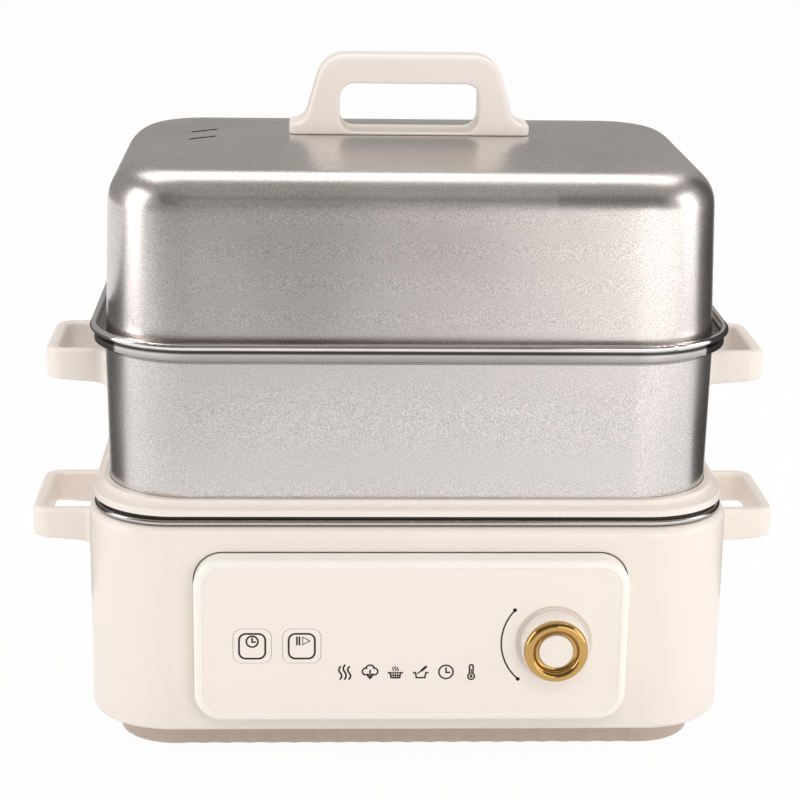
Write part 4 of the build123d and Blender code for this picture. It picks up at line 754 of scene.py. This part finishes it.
def draw_thermometer(ink):
    ink.arc(0.0, -2.5, 1.7, 125, 415)
    ink.line([(-0.95, -1.1), (-0.95, 3.1)])
    ink.line([(0.95, -1.1), (0.95, 3.1)])
    ink.arc(0.0, 3.1, 0.95, 0, 180)
    ink.disc(0.0, -2.5, 0.75)
    ink.line([(0.0, -2.5), (0.0, 1.4)], THIN_PEN)


# A dark strip behind the panel frame, painted shadow in the seam, and a raised bead round its plate, whose
# lighter cream partly paints a highlight. Sections are pairs of millimetres outwards from the outline and
# millimetres proud of the face.

SEAM_SHADOW_SECTION = ((0.05, 0.0), (0.05, 0.12), (0.28, 0.16), (0.55, 0.07), (0.55, 0.0))
FRAME_CORNER = 15.0
STRIP_CORNER_STEPS = 16
BEAD_SECTION = ((-0.75, -0.05), (-0.62, 0.18), (-0.3, 0.34), (0.12, 0.34), (0.44, 0.18), (0.57, -0.05))
PLATE_CORNER = 11.4


def make_outline_strip(name, node, corner, section, face_y, material):
    """A thin strip on the root body that follows the rounded outline of a CAD node."""
    low, high = node_box(node)
    centre_x, centre_z = (low.x + high.x) / 2, (low.z + high.z) / 2
    half_x, half_z = (high.x - low.x) / 2, (high.z - low.z) / 2
    form = bmesh.new()
    rings = []
    for grow, proud in section:
        ring = []
        turn = corner + grow
        for quarter, (sx, sz) in enumerate(CORNERS):
            for i in range(STRIP_CORNER_STEPS + 1):
                angle = math.radians(90 * quarter + 90 * i / STRIP_CORNER_STEPS)
                x = centre_x + sx * (half_x - corner) + turn * math.cos(angle)
                z = centre_z + sz * (half_z - corner) + turn * math.sin(angle)
                ring.append(form.verts.new((x * MM, (face_y - proud) * MM, z * MM)))
        rings.append(ring)
    for inner, outer in zip(rings, rings[1:] + rings[:1]):
        for i in range(len(inner)):
            j = (i + 1) % len(inner)
            form.faces.new((inner[i], inner[j], outer[j], outer[i]))
    bmesh.ops.recalc_face_normals(form, faces=form.faces)
    for face in form.faces:
        face.smooth = True
    mesh = bpy.data.meshes.new(name)
    form.to_mesh(mesh)
    form.free()
    new_piece(name, mesh, material, "root")


# Places and sizes of the prints

ICON_FIRST_X = -34.5
ICON_PITCH = 13.16
ICON_Z = 53.4
ICONS = (
    ("steam_icon", draw_steam), ("stew_icon", draw_stew), ("pan_icon", draw_pan),
    ("stir_icon", draw_stir), ("clock_icon", draw_clock), ("thermometer_icon", draw_thermometer),
)
KEY_FRAME = (13.5, 13.7)
KEY_FRAME_CORNER = 3.5
KEY_FRAME_STEPS = 8
KEY_LINE = 1.0
KEY_CLOCK_RADIUS = 3.0
KEY_CLOCK_LIFT = 2.6
DIAL_RADIUS = 27.3
DIAL_START = 139.0
DIAL_END = 228.5
DIAL_DOT = 1.05


def draw_key_frame(ink):
    half_x, half_z = KEY_FRAME[0] / 2, KEY_FRAME[1] / 2
    points = []
    for quarter, (sx, sz) in enumerate(CORNERS):
        for i in range(KEY_FRAME_STEPS + 1):
            angle = math.radians(90 * quarter + 90 * i / KEY_FRAME_STEPS)
            points.append((sx * (half_x - KEY_FRAME_CORNER) + KEY_FRAME_CORNER * math.cos(angle),
                           sz * (half_z - KEY_FRAME_CORNER) + KEY_FRAME_CORNER * math.sin(angle)))
    ink.line(points, KEY_LINE, closed=True)


def make_prints(material):
    """The six pictures, the arc round the knob and the signs on the two keys."""
    for i, (name, draw) in enumerate(ICONS):
        ink = Print(name, ICON_FIRST_X + i * ICON_PITCH, ICON_Z, PANEL_FACE_Y)
        draw(ink)
        ink.finish(material, "root")
    dial = Print("dial_line", (knob_low.x + knob_high.x) / 2, (knob_low.z + knob_high.z) / 2, PANEL_FACE_Y)
    dial.arc(0.0, 0.0, DIAL_RADIUS, DIAL_START, DIAL_END, DIAL_PEN)
    for angle in (math.radians(DIAL_START), math.radians(DIAL_END)):
        dial.disc(DIAL_RADIUS * math.cos(angle), DIAL_RADIUS * math.sin(angle), DIAL_DOT)
    dial.finish(material, "root")
    for node, body in (("reserve_button", "reserve_key"), ("start_button", "start_key")):
        low, high = node_box(node)
        ink = Print(body + "_print", (low.x + high.x) / 2, (low.z + high.z) / 2, low.y)
        draw_key_frame(ink)
        if body == "reserve_key":
            ink.centre = (ink.centre[0], ink.centre[1] + KEY_CLOCK_LIFT)
            draw_clock(ink, KEY_CLOCK_RADIUS, KEY_PEN)
        else:
            for x in (-2.5, -1.2):
                ink.line([(x, 0.9), (x, 5.0)], KEY_PEN)
            ink.line([(0.5, 0.8), (0.5, 5.1), (4.1, 2.95)], PLAY_PEN, closed=True)
        ink.finish(material, body)


# Studio. Its sizes and places are metres.

FLOOR_HALF = 6.0
FLOOR_COLOUR = (0.80, 0.79, 0.78, 1.0)
FLOOR_ROUGH = 0.9
FLOOR_GLOW_SHARE = 0.96
WHITE = (1.0, 1.0, 1.0, 1.0)
AMBIENT_COLOUR = (1.0, 0.985, 0.97, 1.0)
AMBIENT_LIGHT = 0.60
GLOW_COLOUR = (1.0, 0.97, 0.94, 1.0)
LAMP_COLOUR = (1.0, 0.98, 0.96)


def make_world():
    """A white studio for the camera and for reflections, with a softer warm light on the part."""
    world = bpy.data.worlds.new("studio")
    bpy.context.scene.world = world
    world.use_nodes = True
    tree = world.node_tree
    output = tree.nodes["World Output"]
    ambient = tree.nodes["Background"]
    ambient.inputs["Color"].default_value = AMBIENT_COLOUR
    ambient.inputs["Strength"].default_value = AMBIENT_LIGHT
    seen = tree.nodes.new("ShaderNodeBackground")
    seen.inputs["Color"].default_value = WHITE
    seen.inputs["Strength"].default_value = 1.0
    path = tree.nodes.new("ShaderNodeLightPath")
    either = tree.nodes.new("ShaderNodeMath")
    either.operation = "ADD"
    either.use_clamp = True
    tree.links.new(path.outputs["Is Camera Ray"], either.inputs[0])
    glossy = tree.nodes.new("ShaderNodeMath")
    glossy.operation = "ADD"
    tree.links.new(path.outputs["Is Glossy Ray"], glossy.inputs[0])
    tree.links.new(path.outputs["Is Transmission Ray"], glossy.inputs[1])
    tree.links.new(glossy.outputs["Value"], either.inputs[1])
    mix = tree.nodes.new("ShaderNodeMixShader")
    tree.links.new(either.outputs["Value"], mix.inputs["Fac"])
    tree.links.new(ambient.outputs["Background"], mix.inputs[1])
    tree.links.new(seen.outputs["Background"], mix.inputs[2])
    tree.links.new(mix.outputs["Shader"], output.inputs["Surface"])


def make_floor():
    """A pale floor that takes soft shadows and is nearly white to the camera."""
    mesh = bpy.data.meshes.new("floor")
    corners = [(x * FLOOR_HALF, y * FLOOR_HALF, 0.0) for x, y in ((-1, -1), (1, -1), (1, 1), (-1, 1))]
    mesh.from_pydata(corners, [], [(0, 1, 2, 3)])
    floor = bpy.data.objects.new("floor", mesh)
    bpy.context.scene.collection.objects.link(floor)
    material = bpy.data.materials.new("floor")
    material.use_nodes = True
    tree = material.node_tree
    surface = tree.nodes["Principled BSDF"]
    surface.inputs["Base Color"].default_value = FLOOR_COLOUR
    surface.inputs["Roughness"].default_value = FLOOR_ROUGH
    glow = tree.nodes.new("ShaderNodeEmission")
    glow.inputs["Strength"].default_value = 1.0
    path = tree.nodes.new("ShaderNodeLightPath")
    seen = tree.nodes.new("ShaderNodeMath")
    seen.operation = "ADD"
    seen.use_clamp = True
    tree.links.new(path.outputs["Is Camera Ray"], seen.inputs[0])
    tree.links.new(path.outputs["Is Glossy Ray"], seen.inputs[1])
    share = tree.nodes.new("ShaderNodeMath")
    share.operation = "MULTIPLY"
    share.inputs[1].default_value = FLOOR_GLOW_SHARE
    tree.links.new(seen.outputs["Value"], share.inputs[0])
    mix = tree.nodes.new("ShaderNodeMixShader")
    tree.links.new(share.outputs["Value"], mix.inputs["Fac"])
    tree.links.new(surface.outputs["BSDF"], mix.inputs[1])
    tree.links.new(glow.outputs["Emission"], mix.inputs[2])
    tree.links.new(mix.outputs["Shader"], tree.nodes["Material Output"].inputs["Surface"])
    mesh.materials.append(material)


def glow_material(name, strength, back_strength=None):
    """An even glow, with another strength on the back where one is given."""
    material = bpy.data.materials.new(name)
    material.use_nodes = True
    tree = material.node_tree
    tree.nodes.clear()
    output = tree.nodes.new("ShaderNodeOutputMaterial")
    glow = tree.nodes.new("ShaderNodeEmission")
    glow.inputs["Color"].default_value = GLOW_COLOUR
    glow.inputs["Strength"].default_value = strength
    if back_strength is not None:
        side = tree.nodes.new("ShaderNodeNewGeometry")
        change = tree.nodes.new("ShaderNodeMapRange")
        change.inputs["To Min"].default_value = strength
        change.inputs["To Max"].default_value = back_strength
        tree.links.new(side.outputs["Backfacing"], change.inputs["Value"])
        tree.links.new(change.outputs["Result"], glow.inputs["Strength"])
    tree.links.new(glow.outputs["Emission"], output.inputs["Surface"])
    return material


def hide_from_all_but_reflections(card):
    card.visible_camera = False
    card.visible_diffuse = False
    card.visible_transmission = False
    card.visible_shadow = False


ROOM_RADIUS = 2.6
ROOM_HEIGHT = 2.6
ROOM_SLOPE = 0.8
ROOM_FOOT = 0.01
ROOM_SIDES = 48
ROOM_LIGHT = 0.35


def make_room():
    """Grey studio walls and ceiling that only reflections see, so the steel keeps its mid tones."""
    form = bmesh.new()
    turns = [2 * math.pi * i / ROOM_SIDES for i in range(ROOM_SIDES)]
    outline = (
        (ROOM_RADIUS, ROOM_FOOT),
        (ROOM_RADIUS, ROOM_HEIGHT - ROOM_SLOPE),
        (ROOM_RADIUS - ROOM_SLOPE, ROOM_HEIGHT),
    )
    rings = [[form.verts.new((r * math.cos(a), r * math.sin(a), z)) for a in turns] for r, z in outline]
    for low, high in zip(rings, rings[1:]):
        for i in range(ROOM_SIDES):
            j = (i + 1) % ROOM_SIDES
            form.faces.new((low[i], high[i], high[j], low[j]))
    form.faces.new(rings[-1])
    mesh = bpy.data.meshes.new("studio_walls")
    form.to_mesh(mesh)
    form.free()
    room = bpy.data.objects.new("studio_walls", mesh)
    bpy.context.scene.collection.objects.link(room)
    mesh.materials.append(glow_material("studio_walls", ROOM_LIGHT))
    hide_from_all_but_reflections(room)


def make_flag(name, corners, strength, back_strength=None):
    """A studio card that only reflections see. It darkens, brightens or evens a zone of the steel."""
    mesh = bpy.data.meshes.new(name)
    mesh.from_pydata(corners, [], [(0, 1, 2, 3)])
    flag = bpy.data.objects.new(name, mesh)
    bpy.context.scene.collection.objects.link(flag)
    mesh.materials.append(glow_material(name, strength, back_strength))
    hide_from_all_but_reflections(flag)


def level_card(half_x, front_y, back_y, low_z, high_z):
    """Corners of a card across the front, flat or leaning back."""
    front = (-half_x, front_y, low_z), (half_x, front_y, low_z)
    back = (half_x, back_y, high_z), (-half_x, back_y, high_z)
    return front + back


def upright_card(near, far, first_z, last_z):
    """Corners of an upright card between two places. The order of its heights turns its face."""
    return (*near, first_z), (*far, first_z), (*far, last_z), (*near, last_z)


# Names, corners, strength of the glow and, where it differs, its strength on the back
FLAGS = (
    ("front_card", level_card(1.6, -0.86, -2.4, 0.02, 0.02), 0.39, None),
    ("sky_flag", level_card(2.0, -2.05, -1.2, 0.85, 2.1), 0.09, None),
    ("key_card", upright_card((0.18, -0.95), (1.0, -0.42), 0.03, 0.45), 1.55, None),
    ("left_flag", upright_card((-0.172, -0.03), (-0.8, 0.04), 0.23, 0.06), 0.10, 0.85),
    ("right_flag", upright_card((0.172, -0.03), (0.8, 0.04), 0.06, 0.36), 0.06, 0.85),
)


def soft_box(name, place, aim, width, height, power):
    """A rectangular lamp that is turned towards its aim."""
    data = bpy.data.lights.new(name, "AREA")
    data.shape = "RECTANGLE"
    data.size = width
    data.size_y = height
    data.energy = power
    data.color = LAMP_COLOUR
    lamp = bpy.data.objects.new(name, data)
    lamp.location = place
    lamp.rotation_euler = (Vector(aim) - Vector(place)).to_track_quat("-Z", "Y").to_euler()
    bpy.context.scene.collection.objects.link(lamp)


# Names, places, aims, widths, heights and watts of the soft boxes
MIDDLE = (0.0, 0.0, 0.15)
LAMPS = (
    ("top_lamp", (0.0, 0.62, 1.85), (0.0, 0.1, 0.2), 2.6, 1.1, 15.0),
    ("left_lamp", (-1.75, -0.25, 0.65), MIDDLE, 0.75, 1.3, 9.0),
    ("right_lamp", (1.75, -0.25, 0.65), MIDDLE, 0.75, 1.3, 7.0),
    ("key_lamp", (0.72, -1.55, 0.36), MIDDLE, 0.7, 0.72, 4.0),
    ("high_lamp", (0.0, -2.6, 2.3), MIDDLE, 2.2, 0.7, 18.0),
)


materials = make_materials()
make_camera()
dress_cad_nodes(materials)
soften_grips()
# The steam slot walls get dark brown as painted shade
make_lid(materials["satin_steel"], materials["seal_brown"])
make_probe_spring(materials["zinc_steel"])
make_prints(materials["print_brown"])
# Painted shadow: a dark brown strip in the seam round the panel frame; the plate bead's lighter cream partly
# paints a highlight
make_outline_strip("painted_seam_shadow", "panel_frame", FRAME_CORNER, SEAM_SHADOW_SECTION, base_low.y,
                   materials["seal_brown"])
make_outline_strip("plate_bead", "panel_plate", PLATE_CORNER, BEAD_SECTION, PANEL_FACE_Y,
                   materials["bead_gloss"])
make_world()
make_floor()
make_room()
for flag in FLAGS:
    make_flag(*flag)
for lamp in LAMPS:
    soft_box(*lamp)

bpy.context.scene.view_settings.view_transform = "Standard"
